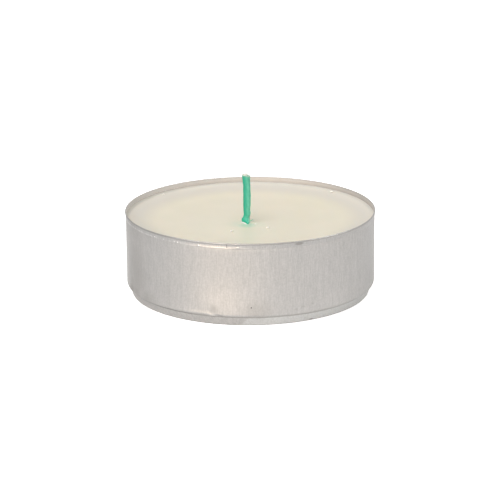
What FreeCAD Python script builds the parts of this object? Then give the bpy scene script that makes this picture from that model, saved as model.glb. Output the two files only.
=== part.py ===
import FreeCAD, Part
import math
import os

# Large flat tea light candle: a thin drawn aluminium cup, filled with cast wax
# around a green waxed wick that a crimped metal foot holds upright.
# Millimetres, +Z up. The origin is on the cup's axis, on the plane that its foot
# stands on. The side that is seen first faces -Y.

# Cup
RIM_DIAMETER = 58.0  # over the folded edge, at its crown and at its lower lip
CUP_HEIGHT = 19.4  # foot to the top of the fold
SHEET = 0.13  # thickness of the metal
HEM_DEPTH = 1.3  # height of the edge that is folded down outside the wall
HEM_STAND = 0.06  # the lip stands off the wall by this, and the waist is pressed to it

# The wall turns in to a narrower foot, which drops into the rim of a cup below
SHOULDER_HEIGHT = 2.25  # where the wall and the shoulder would meet without a round
SHOULDER_ROUND = 0.7
SHOULDER_SLOPE = 22.0  # degrees from level
STACK_CLEARANCE = 0.48  # between the foot's top and the mouth of a cup below
FOOT_TAPER = 18.0  # degrees from upright
STANDING_RING = 2.2  # width of the flat ring that the cup stands on
PANEL_RISE = 0.45  # the raised middle of the floor
PANEL_SLOPE = 45.0  # degrees from level
SHARP = 0.0  # the bends of the foot and the floor are coined sharp

# Wax
WAX_BELOW_RIM = 1.2  # edge of the wax below the top of the fold
MENISCUS_CLIMB = 0.5  # the wax climbs the wall by this much as it sets
MENISCUS_LEAN = 35.0  # degrees between its face and the wall
MENISCUS_ROUND = 1.1
RING_SLOPE = 7.0  # degrees from level, of the outer ring
DISH_CORNER = 18.6  # radius at which the ring and the level middle would meet without a round
DISH_ROUND = 100.0

# Wick
WICK_X = -0.88  # the wick stands a little off the axis
WICK_Y = -0.9
WICK_WIDTH = 1.68  # across both lobes of the braid
LEFT_LOBE = 0.64  # radius of the larger lobe
RIGHT_LOBE = 0.54
WICK_STANDS = 11.6  # length above the wax

# Stations of the wick above the wax, from the flare at its root to its cut end:
# (share of the standing length, offset along X, offset along Y, girth)
WICK_STATIONS = (
    (0.02, -0.08, 0.00, 1.13),
    (0.08, -0.11, 0.02, 1.17),
    (0.16, 0.00, 0.03, 1.02),
    (0.24, 0.05, 0.02, 1.00),
    (0.45, 0.03, -0.02, 1.00),
    (0.60, 0.07, -0.03, 0.99),
    (0.78, 0.05, 0.00, 0.96),
    (0.96, -0.06, 0.05, 0.98),
)
TIP_GIRTH = 0.66  # the cut end is rubbed round
ROOT_RUN = 1.4  # length below the wax over which the root widens

# Wick sustainer
DISC_DIAMETER = 18.0
DISC_THICKNESS = 0.25
COLLAR_WALL = 0.3
COLLAR_HEIGHT = 4.0  # above the disc
FLARE = 0.5  # width and height of the cone between the disc and the collar
CRIMP_WIDTH = 1.0  # the two flats that grip the wick
CRIMP_DEPTH = 0.12
CRIMP_ABOVE_DISC = 1.9

# Worked out from the sizes above
RIM_RADIUS = RIM_DIAMETER / 2
WALL_RADIUS = RIM_RADIUS - HEM_STAND - SHEET
BORE_RADIUS = WALL_RADIUS - SHEET
CROWN_RADIUS = (RIM_RADIUS - BORE_RADIUS) / 2
CROWN_HEIGHT = CUP_HEIGHT - CROWN_RADIUS
LIP_HEIGHT = CUP_HEIGHT - HEM_DEPTH
WAIST_HEIGHT = (CROWN_HEIGHT + LIP_HEIGHT) / 2
FOOT_TOP_RADIUS = BORE_RADIUS - STACK_CLEARANCE
FLOOR_TOP = PANEL_RISE + SHEET
WAX_EDGE = CUP_HEIGHT - WAX_BELOW_RIM
RING_EDGE = WAX_EDGE - MENISCUS_CLIMB
RING_RADIUS = BORE_RADIUS - MENISCUS_CLIMB * math.tan(math.radians(MENISCUS_LEAN))
WAX_MIDDLE = RING_EDGE - (RING_RADIUS - DISH_CORNER) * math.tan(math.radians(RING_SLOPE))
COLLAR_RADIUS = WICK_WIDTH / 2 + COLLAR_WALL
DISC_TOP = FLOOR_TOP + DISC_THICKNESS
COLLAR_TOP = DISC_TOP + COLLAR_HEIGHT


def polar(length, degrees):
    """A vector in the profile plane: X is the radius and Z the height."""
    angle = math.radians(degrees)
    return FreeCAD.Vector(length * math.cos(angle), 0, length * math.sin(angle))


def direction(start, end):
    """The unit vector from one corner's point to the next."""
    return (end - start).normalize()


def left_of(way):
    """The unit vector to the left of a direction, seen with +Z up and +X to the right."""
    return FreeCAD.Vector(-way.z, 0, way.x)


def turn_between(way_in, way_out):
    """The signed turn from one direction to the next, positive to the left, in radians."""
    cross = way_in.x * way_out.z - way_in.z * way_out.x
    return math.atan2(cross, way_in.x * way_out.x + way_in.z * way_out.z)


def rounded_path(corners):
    """Edges through a list of (point, round), with a tangent arc at each inner corner."""
    edges = []
    last_point = corners[0][0]
    for index in range(1, len(corners) - 1):
        corner, round_radius = corners[index]
        if round_radius == SHARP:
            edges.append(Part.LineSegment(last_point, corner).toShape())
            last_point = corner
            continue
        way_in = direction(corners[index - 1][0], corner)
        way_out = direction(corner, corners[index + 1][0])
        half_turn = abs(turn_between(way_in, way_out)) / 2
        reach = round_radius * math.tan(half_turn)
        arc_start = corner - way_in * reach
        arc_end = corner + way_out * reach
        to_middle = (way_out - way_in).normalize()
        arc_middle = corner + to_middle * (round_radius * (1 / math.cos(half_turn) - 1))
        edges.append(Part.LineSegment(last_point, arc_start).toShape())
        edges.append(Part.Arc(arc_start, arc_middle, arc_end).toShape())
        last_point = arc_end
    edges.append(Part.LineSegment(last_point, corners[-1][0]).toShape())
    return edges


def offset_corners(corners, thickness):
    """The same corners on the sheet's other face, to the left of the path."""
    points = [point for point, round_radius in corners]
    ways = [direction(start, end) for start, end in zip(points, points[1:])]
    moved = [(points[0] + left_of(ways[0]) * thickness, SHARP)]
    for index in range(1, len(points) - 1):
        turn = turn_between(ways[index - 1], ways[index])
        slide = thickness * math.tan(turn / 2)
        point = points[index] + left_of(ways[index]) * thickness + ways[index] * slide
        outer_round = corners[index][1]
        inner_round = SHARP if outer_round == SHARP else outer_round - math.copysign(thickness, turn)
        moved.append((point, inner_round))
    moved.append((points[-1] + left_of(ways[-1]) * thickness, SHARP))
    return moved


def cup_corners():
    """The cup's outer face as corners, from the axis to the waist of the fold."""
    panel_top = FreeCAD.Vector(0, 0, PANEL_RISE)
    shoulder = FreeCAD.Vector(WALL_RADIUS, 0, SHOULDER_HEIGHT)
    shoulder_run = (WALL_RADIUS - FOOT_TOP_RADIUS) / math.cos(math.radians(SHOULDER_SLOPE))
    crease = shoulder - polar(shoulder_run, SHOULDER_SLOPE)
    foot_radius = crease.x - crease.z * math.tan(math.radians(FOOT_TAPER))
    panel_foot = foot_radius - STANDING_RING
    panel_edge = panel_foot - PANEL_RISE / math.tan(math.radians(PANEL_SLOPE))
    return [
        (panel_top, SHARP),
        (FreeCAD.Vector(panel_edge, 0, PANEL_RISE), SHARP),
        (FreeCAD.Vector(panel_foot, 0, 0), SHARP),
        (FreeCAD.Vector(foot_radius, 0, 0), SHARP),
        (crease, SHARP),
        (shoulder, SHOULDER_ROUND),
        (FreeCAD.Vector(WALL_RADIUS, 0, WAIST_HEIGHT), SHARP),
    ]


def bore_corners(top):
    """The cup's inner face as corners, from the axis up the bore to a height."""
    corners = offset_corners(cup_corners(), SHEET)
    corners[-1] = (FreeCAD.Vector(BORE_RADIUS, 0, top), SHARP)
    return corners


def hem_edges():
    """The folded edge: its cut lip, its waisted outer face and the round of its crown."""
    waist_inside = FreeCAD.Vector(WALL_RADIUS, 0, WAIST_HEIGHT)
    waist_outside = FreeCAD.Vector(WALL_RADIUS + SHEET, 0, WAIST_HEIGHT)
    lip_inside = FreeCAD.Vector(RIM_RADIUS - SHEET, 0, LIP_HEIGHT)
    lip_outside = FreeCAD.Vector(RIM_RADIUS, 0, LIP_HEIGHT)
    crown_outside = FreeCAD.Vector(RIM_RADIUS, 0, CROWN_HEIGHT)
    crown_top = FreeCAD.Vector(RIM_RADIUS - CROWN_RADIUS, 0, CUP_HEIGHT)
    crown_inside = FreeCAD.Vector(BORE_RADIUS, 0, CROWN_HEIGHT)
    return [
        Part.LineSegment(waist_inside, lip_inside).toShape(),
        Part.LineSegment(lip_inside, lip_outside).toShape(),
        Part.Arc(lip_outside, waist_outside, crown_outside).toShape(),
        Part.Arc(crown_outside, crown_top, crown_inside).toShape(),
    ]


def revolved(edges):
    """A solid of revolution about Z from the edges of one closed profile."""
    profile = Part.Wire(Part.__sortEdges__(edges))
    axis_point = FreeCAD.Vector(0, 0, 0)
    axis = FreeCAD.Vector(0, 0, 1)
    turned = Part.Face(profile).revolve(axis_point, axis, 360)
    return turned if turned.ShapeType == "Solid" else Part.Solid(turned)


def build_cup():
    """The drawn cup: panelled floor, tapered foot, shoulder, straight wall and folded edge."""
    outer = cup_corners()
    inner = bore_corners(CROWN_HEIGHT)
    axis_edge = Part.LineSegment(inner[0][0], outer[0][0]).toShape()
    return revolved(rounded_path(outer) + hem_edges() + rounded_path(inner) + [axis_edge])


def wax_top_corners():
    """The wax's upper face as corners: a meniscus, a sloping ring and a level middle."""
    return [
        (FreeCAD.Vector(BORE_RADIUS, 0, WAX_EDGE), SHARP),
        (FreeCAD.Vector(RING_RADIUS, 0, RING_EDGE), MENISCUS_ROUND),
        (FreeCAD.Vector(DISH_CORNER, 0, WAX_MIDDLE), DISH_ROUND),
        (FreeCAD.Vector(0, 0, WAX_MIDDLE), SHARP),
    ]


def build_wax_fill():
    """The cast wax before the wick and its foot are taken out of it."""
    inner = bore_corners(WAX_EDGE)
    top = wax_top_corners()
    axis_edge = Part.LineSegment(inner[0][0], top[-1][0]).toShape()
    return revolved(rounded_path(inner) + rounded_path(top) + [axis_edge])


def wick_section(centre_x, centre_y, height, girth):
    """A level section of the braid: two round lobes side by side with a groove between."""
    half_width = girth * WICK_WIDTH / 2
    left_radius = girth * LEFT_LOBE
    right_radius = girth * RIGHT_LOBE
    left_end = FreeCAD.Vector(centre_x - half_width, centre_y, height)
    right_end = FreeCAD.Vector(centre_x + half_width, centre_y, height)
    apart = 2 * half_width - left_radius - right_radius
    to_groove = (apart**2 + left_radius**2 - right_radius**2) / (2 * apart)
    groove_x = left_end.x + left_radius + to_groove
    groove_reach = math.sqrt(left_radius**2 - to_groove**2)
    front_groove = FreeCAD.Vector(groove_x, centre_y - groove_reach, height)
    back_groove = FreeCAD.Vector(groove_x, centre_y + groove_reach, height)
    left_lobe = Part.Arc(back_groove, left_end, front_groove).toShape()
    right_lobe = Part.Arc(front_groove, right_end, back_groove).toShape()
    return Part.Wire([left_lobe, right_lobe])


def build_wick():
    """The wick: straight through its foot and the wax, then wider at the root and bent."""
    straight = wick_section(WICK_X, WICK_Y, FLOOR_TOP, 1.0)
    root_height = WAX_MIDDLE - ROOT_RUN
    run = FreeCAD.Vector(0, 0, root_height - FLOOR_TOP)
    buried = Part.Face(straight).extrude(run)
    sections = [wick_section(WICK_X, WICK_Y, root_height, 1.0)]
    for share, shift_x, shift_y, girth in WICK_STATIONS:
        height = WAX_MIDDLE + share * WICK_STANDS
        sections.append(wick_section(WICK_X + shift_x, WICK_Y + shift_y, height, girth))
    last_share, last_x, last_y, last_girth = WICK_STATIONS[-1]
    tip_height = WAX_MIDDLE + WICK_STANDS
    sections.append(wick_section(WICK_X + last_x, WICK_Y + last_y, tip_height, TIP_GIRTH))
    standing = Part.makeLoft(sections, True, True)
    return buried.fuse(standing).removeSplitter()


def build_sustainer(wick):
    """The wick's foot: a disc on the floor and a collar crimped on the wick."""
    disc_radius = DISC_DIAMETER / 2
    outline = [
        (FreeCAD.Vector(0, 0, FLOOR_TOP), SHARP),
        (FreeCAD.Vector(disc_radius, 0, FLOOR_TOP), SHARP),
        (FreeCAD.Vector(disc_radius, 0, DISC_TOP), SHARP),
        (FreeCAD.Vector(COLLAR_RADIUS + FLARE, 0, DISC_TOP), SHARP),
        (FreeCAD.Vector(COLLAR_RADIUS, 0, DISC_TOP + FLARE), SHARP),
        (FreeCAD.Vector(COLLAR_RADIUS, 0, COLLAR_TOP), SHARP),
        (FreeCAD.Vector(0, 0, COLLAR_TOP), SHARP),
    ]
    axis_edge = Part.LineSegment(outline[-1][0], outline[0][0]).toShape()
    body = revolved(rounded_path(outline) + [axis_edge])
    body.translate(FreeCAD.Vector(WICK_X, WICK_Y, 0))
    for flat in crimp_flats():
        body = body.cut(flat)
    return body.cut(wick)


def crimp_flats():
    """The two blocks whose inner faces are the flats pressed into the collar's sides."""
    size = FreeCAD.Vector(COLLAR_RADIUS, 2 * COLLAR_RADIUS, CRIMP_WIDTH)
    half_gap = COLLAR_RADIUS - CRIMP_DEPTH
    flats = []
    bottom = DISC_TOP + CRIMP_ABOVE_DISC
    for left_edge in (-half_gap - size.x, half_gap):
        flat = Part.makeBox(size.x, size.y, size.z)
        flat.translate(FreeCAD.Vector(WICK_X + left_edge, WICK_Y - COLLAR_RADIUS, bottom))
        flats.append(flat)
    return flats


def build_nodes():
    """Every piece under its node's name, each one solid."""
    wick = build_wick()
    sustainer = build_sustainer(wick)
    return {
        "cup": build_cup(),
        "wax": build_wax_fill().cut(wick.fuse(sustainer)),
        "wick": wick,
        "wick_sustainer": sustainer,
    }


def export_nodes():
    """Writes each piece to the parts folder and prints its volume in cubic millimetres."""
    os.makedirs("parts", exist_ok=True)
    for name, shape in build_nodes().items():
        solid = shape.Solids[0]
        print(name, "solids", len(shape.Solids), "volume", round(solid.Volume, 2))
        solid.exportStep("parts/" + name + ".step")


export_nodes()
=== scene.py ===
"""Looks of a large flat tea light candle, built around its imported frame.

Blender's units are metres, with +Z up, the cup's axis through the origin and its foot
on the floor. Sizes of the candle are written in millimetres, as in its CAD source, and
become metres where a mesh is made. An azimuth is an angle round the axis from -Y, the
side that the camera faces, and grows towards +X. Where a docstring names no unit, a
length or a place is in millimetres, and a height is above the floor.
"""

import logging
import math
from collections.abc import Mapping, Sequence
from dataclasses import dataclass, field
from enum import Enum
from functools import partial, reduce
from typing import Any

import bpy
import numpy as np
from mathutils import Matrix, Vector

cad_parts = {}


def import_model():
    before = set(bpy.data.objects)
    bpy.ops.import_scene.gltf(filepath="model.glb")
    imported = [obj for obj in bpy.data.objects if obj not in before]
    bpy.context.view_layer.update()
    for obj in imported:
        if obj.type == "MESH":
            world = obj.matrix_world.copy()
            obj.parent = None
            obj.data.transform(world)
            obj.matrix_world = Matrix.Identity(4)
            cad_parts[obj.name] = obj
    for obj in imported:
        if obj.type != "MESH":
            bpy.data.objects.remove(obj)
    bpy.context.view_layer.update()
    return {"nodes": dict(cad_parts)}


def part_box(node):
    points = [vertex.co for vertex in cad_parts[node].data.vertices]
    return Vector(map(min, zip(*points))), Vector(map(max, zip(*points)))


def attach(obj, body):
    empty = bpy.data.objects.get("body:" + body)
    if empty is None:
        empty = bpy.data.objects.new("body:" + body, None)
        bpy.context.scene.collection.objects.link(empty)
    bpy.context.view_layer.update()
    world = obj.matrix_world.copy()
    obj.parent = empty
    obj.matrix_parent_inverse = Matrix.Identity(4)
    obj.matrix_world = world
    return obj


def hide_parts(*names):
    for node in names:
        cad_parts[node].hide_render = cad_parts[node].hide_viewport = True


log = logging.getLogger("tea_light")

MM = 0.001
ROOT_BODY = "root"
# A length in millimetres that counts as nothing
TINY = 1e-6
# The middle of a noise or a mask
MIDDLE = 0.5
# Where the wick's axis crosses the floor along X and Y, in millimetres
WICK_AXIS = (-0.88, -0.9)
# Azimuth of each small burr on the fold's lower edge, in degrees, and the strength of the painted highlight
# on its top
BURRS = (
    (-70.4, 0.25),
    (-66.2, 0.3),
    (-63.5, 0.3),
    (-59.5, 0.35),
    (-57.3, 0.3),
    (-53.0, 0.25),
    (-50.6, 0.4),
    (-47.6, 0.75),
    (-42.0, 0.45),
    (-35.6, 0.5),
    (-34.0, 0.85),
    (-23.2, 0.9),
    (-5.5, 0.15),
)
Pair = tuple[float, float]
Triple = tuple[float, float, float]
Colour = tuple[float, float, float, float]
Socket = bpy.types.NodeSocket
WHITE: Colour = (1.0, 1.0, 1.0, 1.0)
BLACK: Colour = (0.0, 0.0, 0.0, 1.0)


class Node(Enum):
    """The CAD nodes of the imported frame."""

    CUP = "cup"
    WAX = "wax"
    WICK = "wick"
    SUSTAINER = "wick_sustainer"


class Slot(Enum):
    """The record's material slots."""

    CUP = "cup_aluminium"
    WAX = "candle_wax"
    WICK = "green_wick"
    STEEL = "tinned_steel"


class Ray(Enum):
    """Kinds of ray that Blender's Light Path node tells apart."""

    CAMERA = "Is Camera Ray"
    GLOSSY = "Is Glossy Ray"
    TRANSMISSION = "Is Transmission Ray"


# Shapes


def points_of(*coordinates: np.ndarray) -> np.ndarray:
    """Points from their X, Y and Z, which are spread over one grid."""
    return np.stack(np.broadcast_arrays(*coordinates), axis=-1)


def around_axis(radius: np.ndarray, height: np.ndarray, azimuth: np.ndarray) -> np.ndarray:
    """Points round the cup's axis: x = radius sin(azimuth), y = -radius cos(azimuth)."""
    return points_of(radius * np.sin(azimuth), -radius * np.cos(azimuth), height)


def arc_from(degrees: Any, azimuth: np.ndarray, radius: float) -> np.ndarray:
    """Way round the axis from an azimuth in degrees to azimuths in radians."""
    return (azimuth - np.radians(degrees)) * radius


def bell(distance: np.ndarray, width: float) -> np.ndarray:
    """A smooth hump: 1 at no distance, exp(-(distance / width) squared) elsewhere."""
    return np.exp(-((distance / width) ** 2))


def smooth_step(value: np.ndarray, low: float, high: float) -> np.ndarray:
    """0 up to low, 1 from high on, and the cubic 3t^2 - 2t^3 between them."""
    share = np.clip((value - low) / (high - low), 0.0, 1.0)
    return share * share * (3.0 - 2.0 * share)


def full_turn(columns: int, start: float = 0.0) -> np.ndarray:
    """Angles of the points of a closed ring, as a row."""
    return np.linspace(start, start + 2.0 * math.pi, columns, endpoint=False)[None, :]


def wrapped(angle: np.ndarray) -> np.ndarray:
    """The same angle, brought into the range from -pi to pi."""
    return np.angle(np.exp(1j * angle))


@dataclass(frozen=True)
class Ripple:
    """A wobble that closes on itself: the mean of cosines with seeded phases.

    The orders say how many waves each cosine has in a full turn.
    """

    size: float
    orders: tuple[int, ...]
    seed: int

    def at(self, azimuth: np.ndarray) -> np.ndarray:
        """The wobble at each angle, from -size to size."""
        phases = np.random.default_rng(self.seed).uniform(0.0, 2.0 * math.pi, len(self.orders))
        return self.size * np.cos(np.multiply.outer(azimuth, np.array(self.orders)) + phases).mean(axis=-1)


def rounded_outline(corners: Sequence[Triple], arc_steps: int = 7) -> np.ndarray:
    """A path through corners, each rounded by a circular arc that touches both runs.

    The arc of radius R at a turn t starts R tan(t / 2) before the corner. Its points are
    blended from the two tangent points along a rational quadratic, which is that circle.

    Args:
        corners: Radius, height and round of each corner; the ends have no round.
        arc_steps: Points on each arc.

    Returns:
        Radius and height of each point of the path.
    """
    points = np.array([corner[:2] for corner in corners])
    pieces = [points[:1]]
    share = np.linspace(0.0, 1.0, arc_steps)[:, None]
    for index in range(1, len(corners) - 1):
        way_in = points[index] - points[index - 1]
        way_out = points[index + 1] - points[index]
        way_in = way_in / np.linalg.norm(way_in)
        way_out = way_out / np.linalg.norm(way_out)
        half_turn = math.acos(np.clip(way_in @ way_out, -1.0, 1.0)) / 2.0
        reach = corners[index][2] * math.tan(half_turn)
        start = points[index] - way_in * reach
        end = points[index] + way_out * reach
        weight = math.cos(half_turn)
        near_start = (1.0 - share) ** 2
        near_corner = 2.0 * share * (1.0 - share) * weight
        near_end = share**2
        total = near_start + near_corner + near_end
        pieces.append((near_start * start + near_corner * points[index] + near_end * end) / total)
    pieces.append(points[-1:])
    return np.concatenate(pieces)


def with_spacing(
    outline: np.ndarray,
    spacing: float,
    close_between: Pair = (0.0, 0.0),
    close_spacing: float = 1.0,
) -> np.ndarray:
    """The same path with further points on it.

    Args:
        outline: Radius and height of each point.
        spacing: The step between the further points.
        close_between: Heights between which a smaller step is used as well.
        close_spacing: The smaller step.

    Returns:
        Radius and height of each point of the finer path.
    """
    steps = np.linalg.norm(np.diff(outline, axis=0), axis=1)
    along = np.concatenate([[0.0], np.cumsum(steps)])
    close = np.arange(0.0, along[-1], close_spacing)
    level = np.interp(close, along, outline[:, 1])
    close = close[(level > close_between[0]) & (level < close_between[1])]
    stops = np.unique(np.concatenate([along, np.arange(0.0, along[-1], spacing), close]))
    stops = stops[np.concatenate([[True], np.diff(stops) > TINY])]
    return np.stack([np.interp(stops, along, outline[:, axis]) for axis in range(2)], axis=-1)


def left_face(outline: np.ndarray, distance: float) -> np.ndarray:
    """The path moved to its left, along each point's normal.

    Args:
        outline: Radius and height of each point.
        distance: How far it moves.

    Returns:
        Radius and height of each moved point.
    """
    way = np.gradient(outline, axis=0)
    way = way / np.linalg.norm(way, axis=1, keepdims=True)
    return outline + np.stack([-way[:, 1], way[:, 0]], axis=-1) * distance


def half_turn_arc(start: Sequence[float], end: Sequence[float], steps: int) -> np.ndarray:
    """Half a circle to the right of the way: middle + spoke cos(t) + across sin(t).

    Args:
        start: Radius and height where it starts.
        end: Radius and height where it ends.
        steps: Points on it.

    Returns:
        Radius and height of each point.
    """
    first = np.array(start)
    last = np.array(end)
    middle = (first + last) / 2.0
    spoke = first - middle
    across = np.array([-spoke[1], spoke[0]])
    angle = np.linspace(0.0, math.pi, steps)[:, None]
    return middle + spoke * np.cos(angle) + across * np.sin(angle)


def closed_rings(rings: np.ndarray) -> tuple[np.ndarray, list[tuple[int, ...]]]:
    """Vertices and faces of a skin over rings, whose first and last rings are poles.

    Args:
        rings: Points as (rings, points in a ring, 3), anticlockwise seen from the end
            that the rings lead to.

    Returns:
        The vertices, and the faces as tuples of vertex numbers that face outwards.
    """
    rows, columns = rings.shape[:2]
    body = rings[1:-1].reshape(-1, 3)
    vertices = np.concatenate([rings[0].mean(axis=0)[None], body, rings[-1].mean(axis=0)[None]])
    number = 1 + np.arange((rows - 2) * columns).reshape(rows - 2, columns)
    beside = np.roll(number, -1, axis=1)
    quads = np.stack([number[:-1], beside[:-1], beside[1:], number[1:]], axis=-1).reshape(-1, 4)
    last = len(vertices) - 1
    start_fan = np.stack([np.zeros(columns, int), beside[0], number[0]], axis=-1)
    end_fan = np.stack([number[-1], beside[-1], np.full(columns, last)], axis=-1)
    faces = [tuple(face) for group in (quads, start_fan, end_fan) for face in group.tolist()]
    return vertices, faces


def add_object(name: str, data: Any) -> bpy.types.Object:
    """A new object in the scene.

    Args:
        name: Its name.
        data: The mesh, lamp or camera that it shows.

    Returns:
        The object.
    """
    made = bpy.data.objects.new(name, data)
    bpy.context.scene.collection.objects.link(made)
    return made


def make_piece(
    name: str,
    islands: Sequence[np.ndarray],
    material: bpy.types.Material,
    replaced: Node | None = None,
    masks: Mapping[str, np.ndarray] | None = None,
) -> bpy.types.Object:
    """One smooth mesh object from closed ring skins, which rides on the candle.

    Args:
        name: The piece's name.
        islands: Rings of each closed skin, in millimetres.
        material: Its finish.
        replaced: The CAD node that the piece is shown for.
        masks: Numbers for the finish to read, one for each ring point of a single skin.

    Returns:
        The new object.
    """
    vertices: list[np.ndarray] = []
    faces: list[tuple[int, ...]] = []
    count = 0
    for rings in islands:
        island_vertices, island_faces = closed_rings(rings)
        faces += [tuple(index + count for index in face) for face in island_faces]
        vertices.append(island_vertices)
        count += len(island_vertices)
    mesh = bpy.data.meshes.new(name)
    mesh.from_pydata((np.concatenate(vertices) * MM).tolist(), [], faces)
    mesh.polygons.foreach_set("use_smooth", np.ones(len(faces), dtype=bool))
    mesh.materials.append(material)
    for label, mask in (masks or {}).items():
        ends = [mask[0].mean(keepdims=True), mask[-1].mean(keepdims=True)]
        values = np.concatenate([ends[0], mask[1:-1].ravel(), ends[1]])
        layer = mesh.attributes.new(label, "FLOAT", "POINT")
        layer.data.foreach_set("value", values.astype(np.float32))
    mesh.update()
    piece = add_object(name, mesh)
    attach(piece, ROOT_BODY)
    if replaced is not None:
        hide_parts(replaced.value)
    log.info("piece %s: %d vertices, %d faces", name, count, len(faces))
    return piece


# Shader graphs


@dataclass(frozen=True)
class Spot:
    """A small patch of colour on a finish, in millimetres, for real marks and stains and for painted shade
    and highlights.

    It has its full strength up to the core's share of its reach, and none from the
    fade's share on.
    """

    centre: Triple
    reach: Triple
    strength: float
    core: float = 0.6
    fade: float = 1.1


@dataclass(frozen=True)
class Band:
    """A level stripe on a finish, which fades out within its width up and down."""

    height: float
    width: float
    strength: float


def wall_spot(
    azimuth: float,
    height: float,
    width: float,
    tall: float,
    strength: float,
    radius: float = 28.9,
    core: float = 0.6,
    side_slack: float = 2.0,
) -> Spot:
    """A patch of colour on the cup's wall, placed by its azimuth and height, for real marks and for painted
    shade and highlights.

    Args:
        azimuth: Its azimuth, in degrees.
        height: Its height above the floor.
        width: Its reach to each side.
        tall: Its reach up and down.
        strength: How much of the mark's colour it takes.
        radius: The wall's radius there.
        core: The share of the reach that has the full strength.
        side_slack: How much further it reaches along Y where the wall runs that way.

    Returns:
        The mark.
    """
    turn = math.radians(azimuth)
    centre = (radius * math.sin(turn), -radius * math.cos(turn), height)
    along_y = width + side_slack * abs(math.sin(turn))
    return Spot(centre, (width, along_y, tall), strength, core)


class Graph:
    """Adds nodes to one node tree and joins their sockets."""

    def __init__(self, tree: bpy.types.NodeTree) -> None:
        """Keeps the tree that the nodes go into."""
        self.tree = tree

    def node(
        self, kind: str, sockets: Mapping[Any, Any] | None = None, **settings: Any
    ) -> bpy.types.Node:
        """Adds one node.

        Args:
            kind: Blender's name of the node type.
            sockets: What goes into its inputs, by name or number: a value or a socket.
            **settings: The node's own settings.

        Returns:
            The node.
        """
        made = self.tree.nodes.new(kind)
        for setting, value in settings.items():
            setattr(made, setting, value)
        for key, value in (sockets or {}).items():
            if isinstance(value, Socket):
                self.tree.links.new(value, made.inputs[key])
            else:
                made.inputs[key].default_value = value
        return made

    def link(self, node: bpy.types.Node, sockets: Mapping[str, Any]) -> None:
        """Joins results to a node's inputs by name."""
        for key, value in sockets.items():
            self.tree.links.new(value, node.inputs[key])

    def math(self, operation: str, first: Any, second: Any = 0.0) -> Socket:
        """The result of one Math node on two numbers or sockets."""
        return self.node("ShaderNodeMath", {0: first, 1: second}, operation=operation).outputs[0]

    def product(self, *factors: Any) -> Any:
        """All the factors multiplied."""
        return reduce(partial(self.math, "MULTIPLY"), factors)

    def greatest(self, *masks: Any) -> Any:
        """The greatest of some masks."""
        return reduce(partial(self.math, "MAXIMUM"), masks)

    def weighted(self, *terms: tuple[Any, float]) -> Any:
        """The sum of some numbers, each times its weight."""
        return reduce(partial(self.math, "ADD"), [self.product(*term) for term in terms])

    def vector_math(self, operation: str, first: Any, second: Any) -> Socket:
        """The vector that one Vector Math node makes of two."""
        sockets = {0: first, 1: second}
        return self.node("ShaderNodeVectorMath", sockets, operation=operation).outputs[0]

    def length(self, vector: Any) -> Socket:
        """How long a vector is."""
        return self.node("ShaderNodeVectorMath", {0: vector}, operation="LENGTH").outputs["Value"]

    def remap(self, value: Any, low: float, high: float, start: float = 0.0, end: float = 1.0) -> Socket:
        """Value taken smoothly from the range low to high into the range start to end."""
        sockets = {"Value": value, "From Min": low, "From Max": high, "To Min": start, "To Max": end}
        return self.node("ShaderNodeMapRange", sockets, interpolation_type="SMOOTHSTEP").outputs["Result"]

    # A Mix node's numbers are its inputs 2 and 3, and its colours 6 and 7
    def mix(self, share: Any, first: Any, second: Any) -> Socket:
        """The first colour where the share is 0 and the second where it is 1."""
        sockets = {0: share, 6: first, 7: second}
        return self.node("ShaderNodeMix", sockets, data_type="RGBA").outputs[2]

    def blend(self, share: Any, first: Any, second: Any) -> Socket:
        """The first number where the share is 0 and the second where it is 1."""
        sockets = {0: share, 2: first, 3: second}
        return self.node("ShaderNodeMix", sockets, data_type="FLOAT").outputs[0]

    def noise(self, place: Any, scale: Any, detail: float, roughness: float = 0.5) -> Socket:
        """One noise, from 0 to 1."""
        sockets = {"Vector": place, "Scale": scale, "Detail": detail, "Roughness": roughness}
        return self.node("ShaderNodeTexNoise", sockets).outputs["Fac"]

    def bump(self, height: Any, distance: float, strength: float) -> Socket:
        """The normal of a small relief, whose full height is in millimetres."""
        sockets = {"Height": height, "Distance": distance * MM, "Strength": strength}
        return self.node("ShaderNodeBump", sockets).outputs[0]

    def attribute(self, name: str) -> Socket:
        """A number that the mesh holds at its points."""
        return self.node("ShaderNodeAttribute", attribute_name=name).outputs["Fac"]

    def group(self, tree: bpy.types.NodeTree, *values: Any) -> bpy.types.Node:
        """Places a node group with its own values, in the order of its inputs."""
        return self.node("ShaderNodeGroup", dict(enumerate(values)), node_tree=tree)

    def object_mm(self) -> Socket:
        """Object coordinates in millimetres."""
        place = self.node("ShaderNodeTexCoord").outputs["Object"]
        return self.node("ShaderNodeVectorMath", {0: place, "Scale": 1.0 / MM}, operation="SCALE").outputs[0]

    def away_from(self, place: Any, point: Triple, stretch: Triple) -> Socket:
        """Distance from a point, in units of the stretch along each axis."""
        offset = self.vector_math("SUBTRACT", place, point)
        return self.length(self.vector_math("DIVIDE", offset, stretch))

    def band(self, height: Any, band: Band) -> Socket:
        """A mask that is 1 at the band's height and fades out on both sides."""
        away = self.math("ABSOLUTE", self.math("SUBTRACT", height, band.height))
        return self.remap(away, 0.0, band.width, 1.0, 0.0)

    def spot(self, place: Any, spot: Spot) -> Socket:
        """A mask of one spot."""
        away = self.away_from(place, spot.centre, spot.reach)
        return self.remap(away, spot.core, spot.fade, spot.strength, 0.0)

    def strongest(self, place: Any, spots: Sequence[Spot], other: Any = 0.0) -> Any:
        """A mask of the strongest of some spots and of another mask."""
        return self.greatest(other, *[self.spot(place, spot) for spot in spots])


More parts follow.
